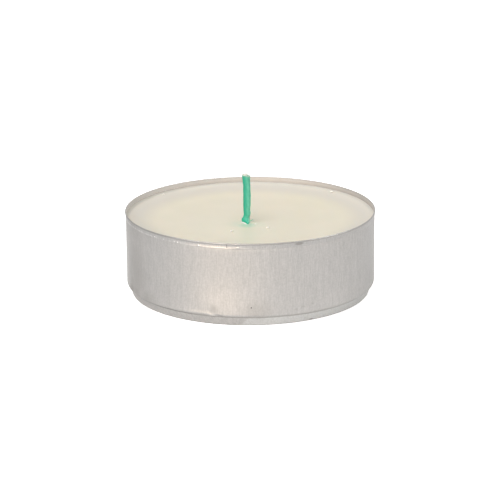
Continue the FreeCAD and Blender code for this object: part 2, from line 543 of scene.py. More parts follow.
def new_material(
    name: str, values: Mapping[str, Any]
) -> tuple[bpy.types.Material, Graph, bpy.types.Node]:
    """A material with a Principled BSDF only.

    Args:
        name: The material's name.
        values: What is the same all over, by the names of the shader's inputs.

    Returns:
        The material, its graph and the shader node.
    """
    material = bpy.data.materials.new(name)
    material.use_nodes = True
    shader = material.node_tree.nodes["Principled BSDF"]
    for key, value in values.items():
        shader.inputs[key].default_value = value
    return material, Graph(material.node_tree), shader


class SharedEffects:
    """The node groups that more than one finish uses, each built once."""

    # Scale of the draw marks' broad noise as a share of the fine one's
    broad_share: float = 0.22

    def __init__(self) -> None:
        """Builds the groups."""
        self.draw_marks = self._draw_marks()
        self.mottle = self._mottle()

    @staticmethod
    def _new_group(
        name: str, inputs: Mapping[str, float], outputs: Sequence[str]
    ) -> tuple[Graph, Any, Any]:
        """An empty group with a Place vector and named numbers in, and numbers out.

        Args:
            name: The group's name.
            inputs: The number inputs and their usual values.
            outputs: The names of the outputs.

        Returns:
            The group's graph, its input node and its output node.
        """
        tree = bpy.data.node_groups.new(name, "ShaderNodeTree")
        tree.interface.new_socket("Place", in_out="INPUT", socket_type="NodeSocketVector")
        for label, usual in inputs.items():
            made = tree.interface.new_socket(label, in_out="INPUT", socket_type="NodeSocketFloat")
            made.default_value = usual
        for label in outputs:
            tree.interface.new_socket(label, in_out="OUTPUT", socket_type="NodeSocketFloat")
        graph = Graph(tree)
        return graph, graph.node("NodeGroupInput"), graph.node("NodeGroupOutput")

    def _draw_marks(self) -> bpy.types.NodeTree:
        """Fine upright marks that a die leaves: noise packed round the axis and long in Z.

        Returns:
            The group.
        """
        usual = {"Marks per mm": 2.0, "Length": 0.04}
        graph, entry, result = self._new_group("draw_marks", usual, ["Marks", "Broad"])
        parts = graph.node("ShaderNodeSeparateXYZ", {0: entry.outputs["Place"]})
        squeezed = graph.product(parts.outputs["Z"], entry.outputs["Length"])
        sockets = {0: parts.outputs["X"], 1: parts.outputs["Y"], 2: squeezed}
        place = graph.node("ShaderNodeCombineXYZ", sockets).outputs[0]
        scale = entry.outputs["Marks per mm"]
        marks = graph.noise(place, scale, detail=3.0, roughness=0.6)
        broad = graph.noise(place, graph.product(scale, self.broad_share), detail=1.0)
        graph.link(result, {"Marks": marks, "Broad": broad})
        return graph.tree

    def _mottle(self) -> bpy.types.NodeTree:
        """Soft clouds and fine grain, as two noises of different size.

        Returns:
            The group.
        """
        usual = {"Clouds per mm": 0.1, "Grains per mm": 4.0}
        graph, entry, result = self._new_group("mottle", usual, ["Clouds", "Grain"])
        place = entry.outputs["Place"]
        clouds = graph.noise(place, entry.outputs["Clouds per mm"], detail=2.0)
        grain = graph.noise(place, entry.outputs["Grains per mm"], detail=3.0)
        graph.link(result, {"Clouds": clouds, "Grain": grain})
        return graph.tree


# Finishes


@dataclass(frozen=True)
class DrawnAluminium:
    """Satin sheet aluminium with upright draw marks, a fold rolled smoother, a few marks, and painted light
    and shade on the wall, fold and foot.
    """

    dark: Colour = (0.411, 0.403, 0.396, 1.0)
    light: Colour = (0.535, 0.524, 0.514, 1.0)
    # The inner face's own lighter colour is painted light, and its darker colour near the wax is painted
    # shade
    inside: Colour = (0.57, 0.555, 0.54, 1.0)
    inside_shade: Colour = (0.51, 0.485, 0.465, 1.0)
    # Lighter grey of the scuffs on the foot, which also paints the light that falls on its right front
    lit_scuffed: Colour = (0.585, 0.588, 0.582, 1.0)
    # Dark grey of small marks, which also paints shade along the fold's face, in the crease and over the
    # left of the wall
    tarnish_and_shade: Colour = (0.30, 0.285, 0.27, 1.0)
    # Near black of pits and nicks, which also paints deeper shade in the crease at the left
    pit_and_shade: Colour = (0.03, 0.03, 0.03, 1.0)
    # Near white of the painted highlights on the burrs and the fold's lip
    painted_highlight: Colour = (0.88, 0.87, 0.85, 1.0)
    roughness: float = 0.46
    fold_roughness: float = 0.40
    inside_roughness: float = 0.7
    cloud_roughness: float = 0.14
    # What the shared groups take: marks per mm and length, clouds and grains per mm
    marks: Pair = (8.5, 0.05)
    strokes: Pair = (5.0, 0.14)
    mottle: Pair = (0.16, 2.6)
    stroke_tilt: float = 38.0
    # The range of each noise that counts, and its share in the colour
    fine_range: Pair = (0.36, 0.64)
    fine_share: float = 0.5
    broad_range: Pair = (0.32, 0.68)
    broad_share: float = 0.16
    speck_range: Pair = (0.36, 0.66)
    speck_share: float = 0.34
    speck_relief: float = 0.4
    bump_height: float = 0.008
    bump_strength: float = 0.4
    # Heights between which the foot ends, the fold starts and the inside's painted shade near the wax gives
    # way to its lighter colour
    foot_ends: Pair = (2.01, 2.11)
    fold_starts: Pair = (18.0, 18.15)
    inside_fades: Pair = (18.1, 19.1)
    # Painted shade: a band along the fold's face, weaker on its inner side
    fold_shade_line: Band = Band(19.19, 0.25, 0.75)
    fold_shade_inside: float = 0.3
    # The painted highlight line on the fold's lower edge, which fades out towards the front
    lip_highlight: Band = Band(18.36, 0.22, 0.3)
    lip_highlight_between: Pair = (-17.0, -13.0)
    # Painted shade: a band in the crease
    crease_shade_line: Band = Band(2.11, 0.28, 0.72)
    # How much more painted shade, in near black, the crease has at the left than elsewhere, and from where
    # on
    crease_left_shade: float = 0.6
    crease_left_shade_between: Pair = (-21.0, -8.0)
    # Places along X where the foot's scuffs and their painted light start, how far these move
    # for each millimetre up, places along Y where they end, and the share of the grain that they follow
    lit_scuff_starts: Pair = (-2.6, -1.9)
    lit_scuff_slant: float = 0.85
    lit_scuff_front: Pair = (-6.0, 0.0)
    lit_scuff_range: Pair = (0.1, 0.8)
    lit_scuff_least: float = 0.6
    burr_height: float = 18.45
    burr_width: float = 0.13
    burr_tall: float = 0.17
    burr_radius: float = 29.0
    dark_spots: tuple[Spot, ...] = (
        wall_spot(0.23, 4.56, 0.16, 0.15, 1.0, 28.77),
        wall_spot(-10.44, 18.7, 0.13, 0.6, 0.48),
        wall_spot(1.1, 18.5, 0.1, 0.14, 0.3),
        wall_spot(5.2, 18.45, 0.12, 0.14, 0.35),
        wall_spot(6.4, 18.6, 0.1, 0.16, 0.3),
        wall_spot(11.0, 18.5, 0.16, 0.14, 0.35),
    )
    # Small dark marks, and soft patches of painted shade
    tarnish_and_shade_spots: tuple[Spot, ...] = (
        wall_spot(-23.05, 18.6, 0.12, 0.35, 0.5),
        wall_spot(22.0, 18.8, 1.1, 0.42, 0.8),
        # Painted shade over the left of the wall, the left of the fold and the crease there
        wall_spot(-70.5, 3.4, 1.5, 2.0, 0.9, core=0.0),
        wall_spot(-63.5, 2.6, 1.6, 0.7, 0.6, core=0.0),
        wall_spot(-72.0, 7.0, 1.5, 3.4, 0.5, core=0.0),
        wall_spot(-69.5, 5.2, 1.8, 3.0, 0.6, core=0.0),
        wall_spot(-65.5, 3.5, 2.6, 2.4, 0.6, core=0.0),
        wall_spot(-66.0, 8.0, 6.5, 13.0, 0.5, core=0.0),
        wall_spot(-68.0, 17.5, 9.0, 6.0, 0.34, core=0.0),
        wall_spot(-70.0, 18.95, 5.0, 0.8, 0.6, core=0.2),
        wall_spot(-55.0, 3.2, 4.5, 2.8, 0.4, core=0.0),
        # Painted shade that dims the lower wall at the front
        wall_spot(3.0, 3.6, 4.5, 3.6, 0.32, core=0.0),
        # Painted shade on the dent's gentle side
        wall_spot(-16.6, 3.95, 1.2, 1.4, 0.5, core=0.0),
        wall_spot(20.5, 3.6, 0.5, 0.2, 0.25),
        wall_spot(23.9, 4.0, 0.6, 0.25, 0.3),
        wall_spot(28.4, 4.4, 0.5, 0.2, 0.25),
        wall_spot(29.1, 0.4, 0.6, 0.16, 0.8, 27.7),
    )

    def burr_highlights(self) -> list[Spot]:
        """Painted highlights on the tops of the fold's burrs."""
        place = (self.burr_height, self.burr_width, self.burr_tall)
        return [wall_spot(azimuth, *place, strength, self.burr_radius) for azimuth, strength in BURRS]

    def material(self, effects: SharedEffects) -> bpy.types.Material:
        """Builds the finish: its grain, then what lies over it, painted light and shade among it, then its
        gloss and relief.

        Args:
            effects: The shared node groups.

        Returns:
            The material.
        """
        material, graph, shader = new_material("drawn_aluminium", {"Metallic": 1.0})
        place = graph.object_mm()
        parts = graph.node("ShaderNodeSeparateXYZ", {0: place})
        across = parts.outputs["X"]
        height = parts.outputs["Z"]
        inside = graph.attribute("inside")
        on_foot = graph.remap(height, *self.foot_ends, 1.0, 0.0)
        on_fold = graph.remap(height, *self.fold_starts)

        marks = graph.group(effects.draw_marks, place, *self.marks)
        sockets = {"Vector": place, "Angle": math.radians(self.stroke_tilt)}
        turned = graph.node("ShaderNodeVectorRotate", sockets, rotation_type="Y_AXIS").outputs[0]
        strokes = graph.group(effects.draw_marks, turned, *self.strokes)
        mottle = graph.group(effects.mottle, place, *self.mottle)
        grain = graph.blend(on_foot, marks.outputs["Marks"], strokes.outputs["Marks"])
        fine = graph.remap(grain, *self.fine_range)
        broad = graph.remap(marks.outputs["Broad"], *self.broad_range)
        speck = graph.remap(mottle.outputs["Grain"], *self.speck_range)
        terms = ((fine, self.fine_share), (broad, self.broad_share), (speck, self.speck_share))
        share = graph.weighted(*terms)
        colour = graph.mix(share, self.dark, self.light)

        # The foot's scuffs, whose lighter grey also paints the light that falls on the foot's right front
        lit_scuff = graph.remap(share, *self.lit_scuff_range, self.lit_scuff_least, 1.0)
        lit_scuff = graph.product(self._lit_scuff(graph, parts), on_foot, lit_scuff)
        colour = graph.mix(lit_scuff, colour, self.lit_scuffed)
        # The inner face: painted light, turning to painted shade towards the wax
        inner = graph.mix(graph.remap(height, *self.inside_fades), self.inside_shade, self.inside)
        colour = graph.mix(inside, colour, inner)
        # Painted shade in dark grey along the fold's face and in the crease, and in the soft patches
        crease = graph.band(height, self.crease_shade_line)
        fold_share = graph.blend(inside, self.fold_shade_line.strength, self.fold_shade_inside)
        fold = graph.product(graph.band(height, self.fold_shade_line), fold_share)
        lines = graph.greatest(fold, graph.product(crease, self.crease_shade_line.strength))
        colour = graph.mix(graph.strongest(place, self.tarnish_and_shade_spots, lines), colour, self.tarnish_and_shade)
        # Deeper painted shade in the crease at the left, in near black, with the pits and nicks
        left_share = graph.remap(across, *self.crease_left_shade_between, self.crease_left_shade, 0.0)
        deep = graph.product(crease, left_share)
        colour = graph.mix(graph.strongest(place, self.dark_spots, deep), colour, self.pit_and_shade)
        # Painted highlights along the fold's lip and on the burrs
        lip_share = graph.remap(across, *self.lip_highlight_between, self.lip_highlight.strength, 0.0)
        lip = graph.product(graph.band(height, self.lip_highlight), lip_share, broad)
        colour = graph.mix(graph.strongest(place, self.burr_highlights(), lip), colour, self.painted_highlight)

        satin = graph.blend(on_fold, self.roughness, self.fold_roughness)
        satin = graph.blend(inside, satin, self.inside_roughness)
        cloud = graph.math("SUBTRACT", mottle.outputs["Clouds"], MIDDLE)
        relief = graph.weighted((grain, 1.0), (mottle.outputs["Grain"], self.speck_relief))
        results = {
            "Base Color": colour,
            "Roughness": graph.math("ADD", satin, graph.product(cloud, self.cloud_roughness)),
            "Normal": graph.bump(relief, self.bump_height, self.bump_strength),
        }
        graph.link(shader, results)
        return material

    def _lit_scuff(self, graph: Graph, parts: bpy.types.Node) -> Socket:
        """A mask of the scuffs at the front, whose lighter colour also paints light there, and which start
        at a slanting edge.

        Args:
            graph: The material's graph.
            parts: The node that holds the coordinates one by one.

        Returns:
            The mask.
        """
        slant = graph.product(parts.outputs["Z"], self.lit_scuff_slant)
        slanted = graph.math("SUBTRACT", parts.outputs["X"], slant)
        front = graph.remap(parts.outputs["Y"], *self.lit_scuff_front, 1.0, 0.0)
        return graph.product(graph.remap(slanted, *self.lit_scuff_starts), front)


@dataclass(frozen=True)
class CandleWax:
    """Cream paraffin: smooth, slightly translucent, stained green round the wick, and painted greyer near
    the cup's wall as shade.
    """

    name: str = "candle_wax"
    cream: Colour = (0.820, 0.765, 0.620, 1.0)
    warm: Colour = (0.845, 0.785, 0.645, 1.0)
    # Greyer colour near the cup's wall, which paints the shade there
    edge: Colour = (0.720, 0.680, 0.605, 1.0)
    stain: Colour = (0.42, 0.66, 0.50, 1.0)
    roughness: float = 0.42
    edge_roughness: float = 0.3
    cloud_roughness: float = 0.16
    # Clouds and grains per mm, and the range of the clouds that counts
    mottle: Pair = (0.11, 2.2)
    cloud_range: Pair = (0.3, 0.7)
    bump_height: float = 0.05
    bump_strength: float = 0.42
    ior: float = 1.44
    scatter: float = 0.25
    # How far red, green and blue light wanders, in millimetres
    scatter_reach: Triple = (1.6, 1.2, 0.8)
    # Radii between which the edge's colour, painted shade near the cup's wall, comes in
    edge_starts: Pair = (21.0, 26.5)
    stains: tuple[Spot, ...] = (
        Spot((-0.75, -3.4, 16.5), (3.2, 3.0, 6.0), 0.7, 0.1, 1.0),
        Spot((-0.7, -2.8, 16.5), (6.5, 4.2, 6.0), 0.22, 0.1, 1.0),
        Spot((-0.3, -12.0, 16.8), (4.4, 16.0, 6.0), 0.09, 0.1, 1.0),
    )

    def material(self, effects: SharedEffects) -> bpy.types.Material:
        """Builds the finish.

        Args:
            effects: The shared node groups.

        Returns:
            The material.
        """
        values = {
            "IOR": self.ior,
            "Subsurface Weight": self.scatter,
            "Subsurface Radius": [reach * MM for reach in self.scatter_reach],
            "Subsurface Scale": 1.0,
        }
        material, graph, shader = new_material(self.name, values)
        place = graph.object_mm()
        mottle = graph.group(effects.mottle, place, *self.mottle)
        clouds = mottle.outputs["Clouds"]
        colour = graph.mix(graph.remap(clouds, *self.cloud_range), self.cream, self.warm)
        radius = graph.length(graph.vector_math("MULTIPLY", place, (1.0, 1.0, 0.0)))
        at_edge = graph.remap(radius, *self.edge_starts)
        # Painted shade: greyer towards the cup's wall
        colour = graph.mix(at_edge, colour, self.edge)
        colour = graph.mix(graph.strongest(place, self.stains), colour, self.stain)
        rough = graph.weighted((clouds, self.cloud_roughness), (at_edge, self.edge_roughness))
        level = self.roughness - self.cloud_roughness * MIDDLE
        results = {
            "Base Color": colour,
            "Roughness": graph.math("ADD", rough, level),
            "Normal": graph.bump(mottle.outputs["Grain"], self.bump_height, self.bump_strength),
        }
        graph.link(shader, results)
        return material


def crumb_wax() -> CandleWax:
    """The wax's finish for loose crumbs: paler, unstained and without scattering."""
    return CandleWax(
        name="crumb_wax",
        cream=(0.93, 0.89, 0.84, 1.0),
        warm=(0.94, 0.91, 0.87, 1.0),
        edge=(0.94, 0.90, 0.84, 1.0),
        scatter=0.0,
        stains=(),
    )


@dataclass(frozen=True)
class GreenWick:
    """Braided cotton soaked in green wax, with a cream cut tip, and painted highlights and painted light on
    its strands, right lobe and foot.
    """

    deep: Colour = (0.020, 0.480, 0.300, 1.0)
    # Light green of the painted highlights on the strand backs and the foot's right side
    wick_highlight: Colour = (0.19, 0.80, 0.56, 1.0)
    # Lighter green of the right lobe, painted light on the side that the lamps leave darker
    lighter_green: Colour = (0.08, 0.74, 0.49, 1.0)
    # Cream of the cut end, which also paints light round the tip and on the foot's right side
    bare_and_lit: Colour = (0.80, 0.78, 0.70, 1.0)
    roughness: float = 0.45
    # Clouds and grains per mm, the range of the clouds that counts, and its least share
    mottle: Pair = (1.1, 7.0)
    cloud_range: Pair = (0.3, 0.7)
    cloud_least: float = 0.7
    bump_height: float = 0.06
    bump_strength: float = 0.5

    def material(self, effects: SharedEffects) -> bpy.types.Material:
        """Builds the finish, which reads the wick's own masks: highlights, the right lobe's lighter green,
        and the cream cut end with painted light round the tip and foot.

        Args:
            effects: The shared node groups.

        Returns:
            The material.
        """
        material, graph, shader = new_material("green_wick", {"Roughness": self.roughness})
        mottle = graph.group(effects.mottle, graph.object_mm(), *self.mottle)
        uneven = graph.remap(mottle.outputs["Clouds"], *self.cloud_range, self.cloud_least, 1.0)
        # The right lobe's lighter green, the highlights and the cream round the tip and on the foot are
        # painted light; the cut end's cream is its own
        colour = graph.mix(graph.product(graph.attribute("lighter_green"), uneven), self.deep, self.lighter_green)
        colour = graph.mix(graph.product(graph.attribute("wick_highlight"), uneven), colour, self.wick_highlight)
        colour = graph.mix(graph.attribute("bare_and_lit"), colour, self.bare_and_lit)
        normal = graph.bump(mottle.outputs["Grain"], self.bump_height, self.bump_strength)
        graph.link(shader, {"Base Color": colour, "Normal": normal})
        return material


@dataclass(frozen=True)
class TinnedSteel:
    """Thin pressed steel with a tin skin, for the wick's foot inside the wax."""

    bright: Colour = (0.62, 0.62, 0.61, 1.0)
    dull: Colour = (0.45, 0.45, 0.45, 1.0)
    # Marks per mm and length, clouds and grains per mm, and the range of both that counts
    marks: Pair = (5.0, 0.2)
    mottle: Pair = (0.8, 6.0)
    noise_range: Pair = (0.3, 0.7)
    roughness_range: Pair = (0.25, 0.45)

    def material(self, effects: SharedEffects) -> bpy.types.Material:
        """Builds the finish.

        Args:
            effects: The shared node groups.

        Returns:
            The material.
        """
        material, graph, shader = new_material("tinned_steel", {"Metallic": 1.0})
        place = graph.object_mm()
        marks = graph.group(effects.draw_marks, place, *self.marks)
        mottle = graph.group(effects.mottle, place, *self.mottle)
        share = graph.remap(marks.outputs["Marks"], *self.noise_range)
        rough = graph.remap(mottle.outputs["Clouds"], *self.noise_range, *self.roughness_range)
        graph.link(shader, {"Base Color": graph.mix(share, self.dull, self.bright), "Roughness": rough})
        return material


# Sub-assemblies


@dataclass(frozen=True)
class Hump:
    """A smooth rise of the sheet, or a hollow where its rise is below 0.

    Its azimuth is in degrees and its sizes are in millimetres. The slant is how many
    degrees its middle goes back for each millimetre up.
    """

    azimuth: float
    height: float
    width: float
    tall: float
    rise: float
    slant: float = 0.0

    def at(self, azimuth: np.ndarray, height: np.ndarray, radius: float) -> np.ndarray:
        """The rise at some places: a bell across times a bell upwards.

        Args:
            azimuth: Azimuths, in radians.
            height: Heights.
            radius: The sheet's radius.

        Returns:
            The rise.
        """
        up = height - self.height
        across = arc_from(self.azimuth - self.slant * up, azimuth, radius)
        return self.rise * bell(across, self.width) * bell(up, self.tall)


@dataclass(frozen=True)
class Dent:
    """A small knock in the cup's lower wall: a hollow with one steep side, and a pushed crease."""

    azimuth: float = -17.25
    height: float = 2.52
    steep_across: float = 0.53
    steep_up: float = 0.848
    steep_width: float = 0.27
    gentle_width: float = 0.85
    length: float = 1.15
    depth: float = 0.055
    lip: float = 0.02
    lip_width: float = 0.3
    # The wall round the dent is bowed in, and swells over the crease at its left
    around: tuple[Hump, ...] = (
        Hump(-13.5, 9.8, 8.0, 5.0, -0.22, slant=0.4),
        Hump(-27.0, 2.8, 4.0, 0.35, 0.065),
    )
    # The crease is pushed down below the dent and up beside that
    pushed: tuple[Hump, ...] = (
        Hump(-17.2, 2.1, 0.9, 0.8, 0.24),
        Hump(-14.4, 2.1, 0.75, 0.8, -0.26),
    )

    def out(self, azimuth: np.ndarray, height: np.ndarray, radius: float) -> np.ndarray:
        """How far the wall stands out: a hollow that starts steeply at a slanting line.

        Beside the line the depth is a smooth step times a bell of the distance past it,
        along the line it is a bell, and a low ridge stands just outside.

        Args:
            azimuth: Azimuths, in radians.
            height: Heights.
            radius: The wall's radius.

        Returns:
            The distance outwards.
        """
        across = arc_from(self.azimuth, azimuth, radius)
        up = height - self.height
        beside = across * self.steep_across + up * self.steep_up
        along = across * self.steep_up - up * self.steep_across
        start = smooth_step(beside, -self.steep_width, self.steep_width)
        hollow = start * bell(np.clip(beside, 0.0, None), self.gentle_width)
        ridge = self.lip * bell(beside + self.steep_width, self.lip_width)
        knock = bell(along, self.length) * (ridge - self.depth * hollow)
        return knock + sum(hump.at(azimuth, height, radius) for hump in self.around)

    def down(self, azimuth: np.ndarray, height: np.ndarray, radius: float) -> np.ndarray:
        """How far the metal at the crease is pushed down, in millimetres."""
        return sum(hump.at(azimuth, height, radius) for hump in self.pushed)


@dataclass(frozen=True)
class FoldMarks:
    """Where the folded edge is open, nicked and burred: azimuths in degrees, sizes in mm."""

    # Azimuth and how far the fold stands open there, from 0 to 1
    opening: tuple[Pair, ...] = (
        (-50.0, 0.0),
        (-40.0, 0.3),
        (-34.0, 0.8),
        (-29.0, 1.0),
        (-26.0, 1.0),
        (-14.0, 1.0),
        (-7.0, 0.7),
        (0.0, 0.5),
        (12.0, 0.3),
        (25.0, 0.0),
    )
    open_waist: float = 0.12
    closed_waist: float = 0.01
    waist_power: float = 1.7
    open_lean: float = 0.07
    closed_lean: float = 0.12
    nick: float = -10.44
    nick_width: float = 0.14
    nick_depth: float = 0.05
    burrs: tuple[float, ...] = tuple(azimuth for azimuth, _ in BURRS)
    burr_width: float = 0.3
    burr_rise: float = 0.07
    burr_height: float = 18.42
    burr_reach: float = 0.16

    def opened(self, azimuth: np.ndarray) -> np.ndarray:
        """1 where the fold stands open and 0 where it is shut, read from the table."""
        table = np.array(self.opening)
        return np.interp(np.degrees(azimuth), table[:, 0], table[:, 1])

    def waist(self, azimuth: np.ndarray) -> np.ndarray:
        """Depth of the waist that the fold's face has between its crown and its lip."""
        return self.closed_waist + (self.open_waist - self.closed_waist) * self.opened(azimuth)

    def lean(self, azimuth: np.ndarray) -> np.ndarray:
        """How far the lip lies inside the crown: shut parts lean onto the wall."""
        return self.closed_lean + (self.open_lean - self.closed_lean) * self.opened(azimuth)

    def out(self, azimuth: np.ndarray, height: np.ndarray, radius: float) -> np.ndarray:
        """How far the fold stands out at its burrs and back at its nick, as bells.

        Args:
            azimuth: Azimuths, in radians.
            height: Heights.
            radius: The fold's radius.

        Returns:
            The distance outwards.
        """
        to_burrs = arc_from(self.burrs, azimuth[..., None], radius)
        near = bell(to_burrs, self.burr_width).max(axis=-1)
        burrs = self.burr_rise * near * bell(height - self.burr_height, self.burr_reach)
        nick = bell(arc_from(self.nick, azimuth, radius), self.nick_width)
        return burrs - self.nick_depth * nick


@dataclass(frozen=True)
class CupSizes:
    """The drawn cup's sizes, in millimetres."""

    rim_radius: float
    height: float
    sheet: float = 0.13
    hem_stand: float = 0.06
    hem_depth: float = 1.3
    shoulder_height: float = 2.33
    shoulder_round: float = 0.7
    crease_radius: float = 28.2
    crease_height: float = 2.08
    crease_round: float = 0.15
    foot_radius: float = 27.55
    foot_round: float = 0.45
    ring_inner: float = 25.35
    panel_rise: float = 0.45
    panel_round: float = 0.3

    @property
    def wall_radius(self) -> float:
        """Outside of the straight wall."""
        return self.rim_radius - self.hem_stand - self.sheet

    @property
    def bore_radius(self) -> float:
        """Inside of the straight wall."""
        return self.wall_radius - self.sheet

    @property
    def lip_height(self) -> float:
        """Middle of the round at the fold's free edge."""
        return self.height - self.hem_depth + self.sheet / 2.0

    @property
    def crown_round(self) -> float:
        """Round of the fold's crown."""
        return (self.rim_radius - self.bore_radius) / 2.0

    @property
    def crown_height(self) -> float:
        """Middle of the crown's round."""
        return self.height - self.crown_round


@dataclass
class DrawnCup:
    """The aluminium cup: one sheet from the floor panel up to the folded edge."""

    sizes: CupSizes
    dent: Dent
    marks: FoldMarks = FoldMarks()
    columns: int = 560
    front_packing: float = 0.55
    row_spacing: float = 2.0
    dent_rows: Pair = (1.9, 6.6)
    dent_spacing: float = 0.2
    # The wall's slight swell below the fold
    collar_rise: float = 0.028
    collar_height: float = 17.3
    collar_reach: float = 0.85
    collar_rows: Pair = (15.3, 18.3)
    collar_spacing: float = 0.3
    arc_steps: int = 5
    lip_steps: int = 7
    face_steps: int = 15
    crown_steps: int = 13
    hem_wobble: Ripple = Ripple(0.015, (9, 17, 31, 57), 11)
    lip_wobble: Ripple = Ripple(0.09, (7, 23, 41, 88, 131), 12)
    # The share of the fold's face, from its lip up, that the lip's wobble reaches
    lip_reach: float = 0.5
    least_gap: float = 0.003
    # How far outside the wall the fold begins and is all fold
    fold_starts: Pair = (0.01, 0.05)
    # How far inside the bore and inside the wall the dent's reach begins and is full
    wall_starts: Pair = (0.8, 0.3)

    def azimuths(self) -> np.ndarray:
        """Angles of the columns, closer together at the front: u - packing sin(u)."""
        turn = full_turn(self.columns, -math.pi)
        return turn - self.front_packing * np.sin(turn)

    def outer_face(self) -> np.ndarray:
        """The outer face from the middle of the floor up to where the fold leaves it.

        Returns:
            Radius and height of each point.
        """
        size = self.sizes
        corners = [
            (0.0, size.panel_rise, 0.0),
            (size.ring_inner - size.panel_rise, size.panel_rise, size.panel_round),
            (size.ring_inner, 0.0, size.panel_round),
            (size.foot_radius, 0.0, size.foot_round),
            (size.crease_radius, size.crease_height, size.crease_round),
            (size.wall_radius, size.shoulder_height, size.shoulder_round),
            (size.wall_radius, size.height - size.hem_depth / 2.0, 0.0),
        ]
        outline = rounded_outline(corners, self.arc_steps)
        outline = with_spacing(outline, self.row_spacing, self.dent_rows, self.dent_spacing)
        return with_spacing(outline, self.row_spacing, self.collar_rows, self.collar_spacing)

    def hem(self) -> np.ndarray:
        """The fold: down to its lip, up its face and over the crown to the bore.

        Returns:
            Radius and height of each point.
        """
        size = self.sizes
        lip_start = (size.rim_radius - size.sheet, size.lip_height)
        lip = half_turn_arc(lip_start, (size.rim_radius, size.lip_height), self.lip_steps)
        rise = np.linspace(size.lip_height, size.crown_height, self.face_steps)[1:-1]
        face = np.stack([np.full_like(rise, size.rim_radius), rise], axis=-1)
        crown_start = (size.rim_radius, size.crown_height)
        crown = half_turn_arc(crown_start, (size.bore_radius, size.crown_height), self.crown_steps)
        return np.concatenate([lip, face, crown])

    def profile(self) -> np.ndarray:
        """The whole closed section, from the axis outside to the axis inside.

        The inner face has every other point of the outer one, and all of them near the
        collar.

        Returns:
            Radius and height of each point.
        """
        size = self.sizes
        outer = self.outer_face()
        inner = left_face(outer, size.sheet)[::-1]
        inner = inner[inner[:, 1] < size.height - size.hem_depth]
        every_other = np.arange(len(inner)) % 2 == (len(inner) - 1) % 2
        inner = inner[every_other | (inner[:, 1] > self.collar_rows[0])]
        inner[-1, 0] = 0.0
        return np.concatenate([outer, self.hem(), inner])

    def rings(self) -> np.ndarray:
        """The section turned round the axis, with the fold's marks and the dent.

        The fold's waist is the root of a half sine wave from the lip to the crown, with
        its narrowest place above the middle, and the wall swells slightly below the fold.

        Returns:
            Points as (rings, columns, 3).
        """
        size = self.sizes
        wall = size.wall_radius
        profile = self.profile()
        azimuth = self.azimuths()
        radius, height = np.broadcast_arrays(profile[:, :1], profile[:, 1:])
        on_face = (radius > size.rim_radius - TINY).astype(float)
        rise = np.clip((height - size.lip_height) / (size.crown_height - size.lip_height), 0.0, 1.0)
        fold = smooth_step(radius, wall + self.fold_starts[0], wall + self.fold_starts[1])
        narrowing = np.sqrt(np.sin(math.pi * rise**self.marks.waist_power))
        inwards = on_face * narrowing * self.marks.waist(azimuth)
        inwards = inwards + fold * (1.0 - rise) * self.marks.lean(azimuth)
        inwards = inwards + fold * (self.hem_wobble.size - self.hem_wobble.at(azimuth))
        marks = on_face * self.marks.out(azimuth, height, size.rim_radius)
        folded = np.clip(radius - inwards + marks, wall + self.least_gap, size.rim_radius)
        near_wall = smooth_step(radius, size.bore_radius - self.wall_starts[0], wall - self.wall_starts[1])
        moved_radius = np.where(fold > MIDDLE, folded, radius)
        moved_radius = moved_radius + near_wall * self.dent.out(azimuth, height, wall)
        moved_radius = moved_radius + near_wall * (1.0 - fold) * self.collar(height)
        low_fold = fold * (1.0 - smooth_step(rise, 0.0, self.lip_reach))
        moved_height = height + low_fold * self.lip_wobble.at(azimuth)
        moved_height = moved_height - near_wall * self.dent.down(azimuth, height, wall)
        return around_axis(moved_radius, moved_height, azimuth)

    def collar(self, height: np.ndarray) -> np.ndarray:
        """How far the wall swells below the fold: a bell."""
        return self.collar_rise * bell(height - self.collar_height, self.collar_reach)

    def inner_face(self) -> np.ndarray:
        """A mask of the inner face, whose rings follow the crown.

        Returns:
            1 at each point of the inner face and 0 at the others, as (rings, columns).
        """
        height = self.profile()[:, 1]
        after_crown = np.arange(len(height)) > np.argmax(height)
        return np.broadcast_to(after_crown.astype(float)[:, None], (len(height), self.columns))

    def build(self, material: bpy.types.Material) -> bpy.types.Object:
        """Makes the cup in its finish."""
        masks = {"inside": self.inner_face()}
        return make_piece("drawn_cup", [self.rings()], material, Node.CUP, masks)


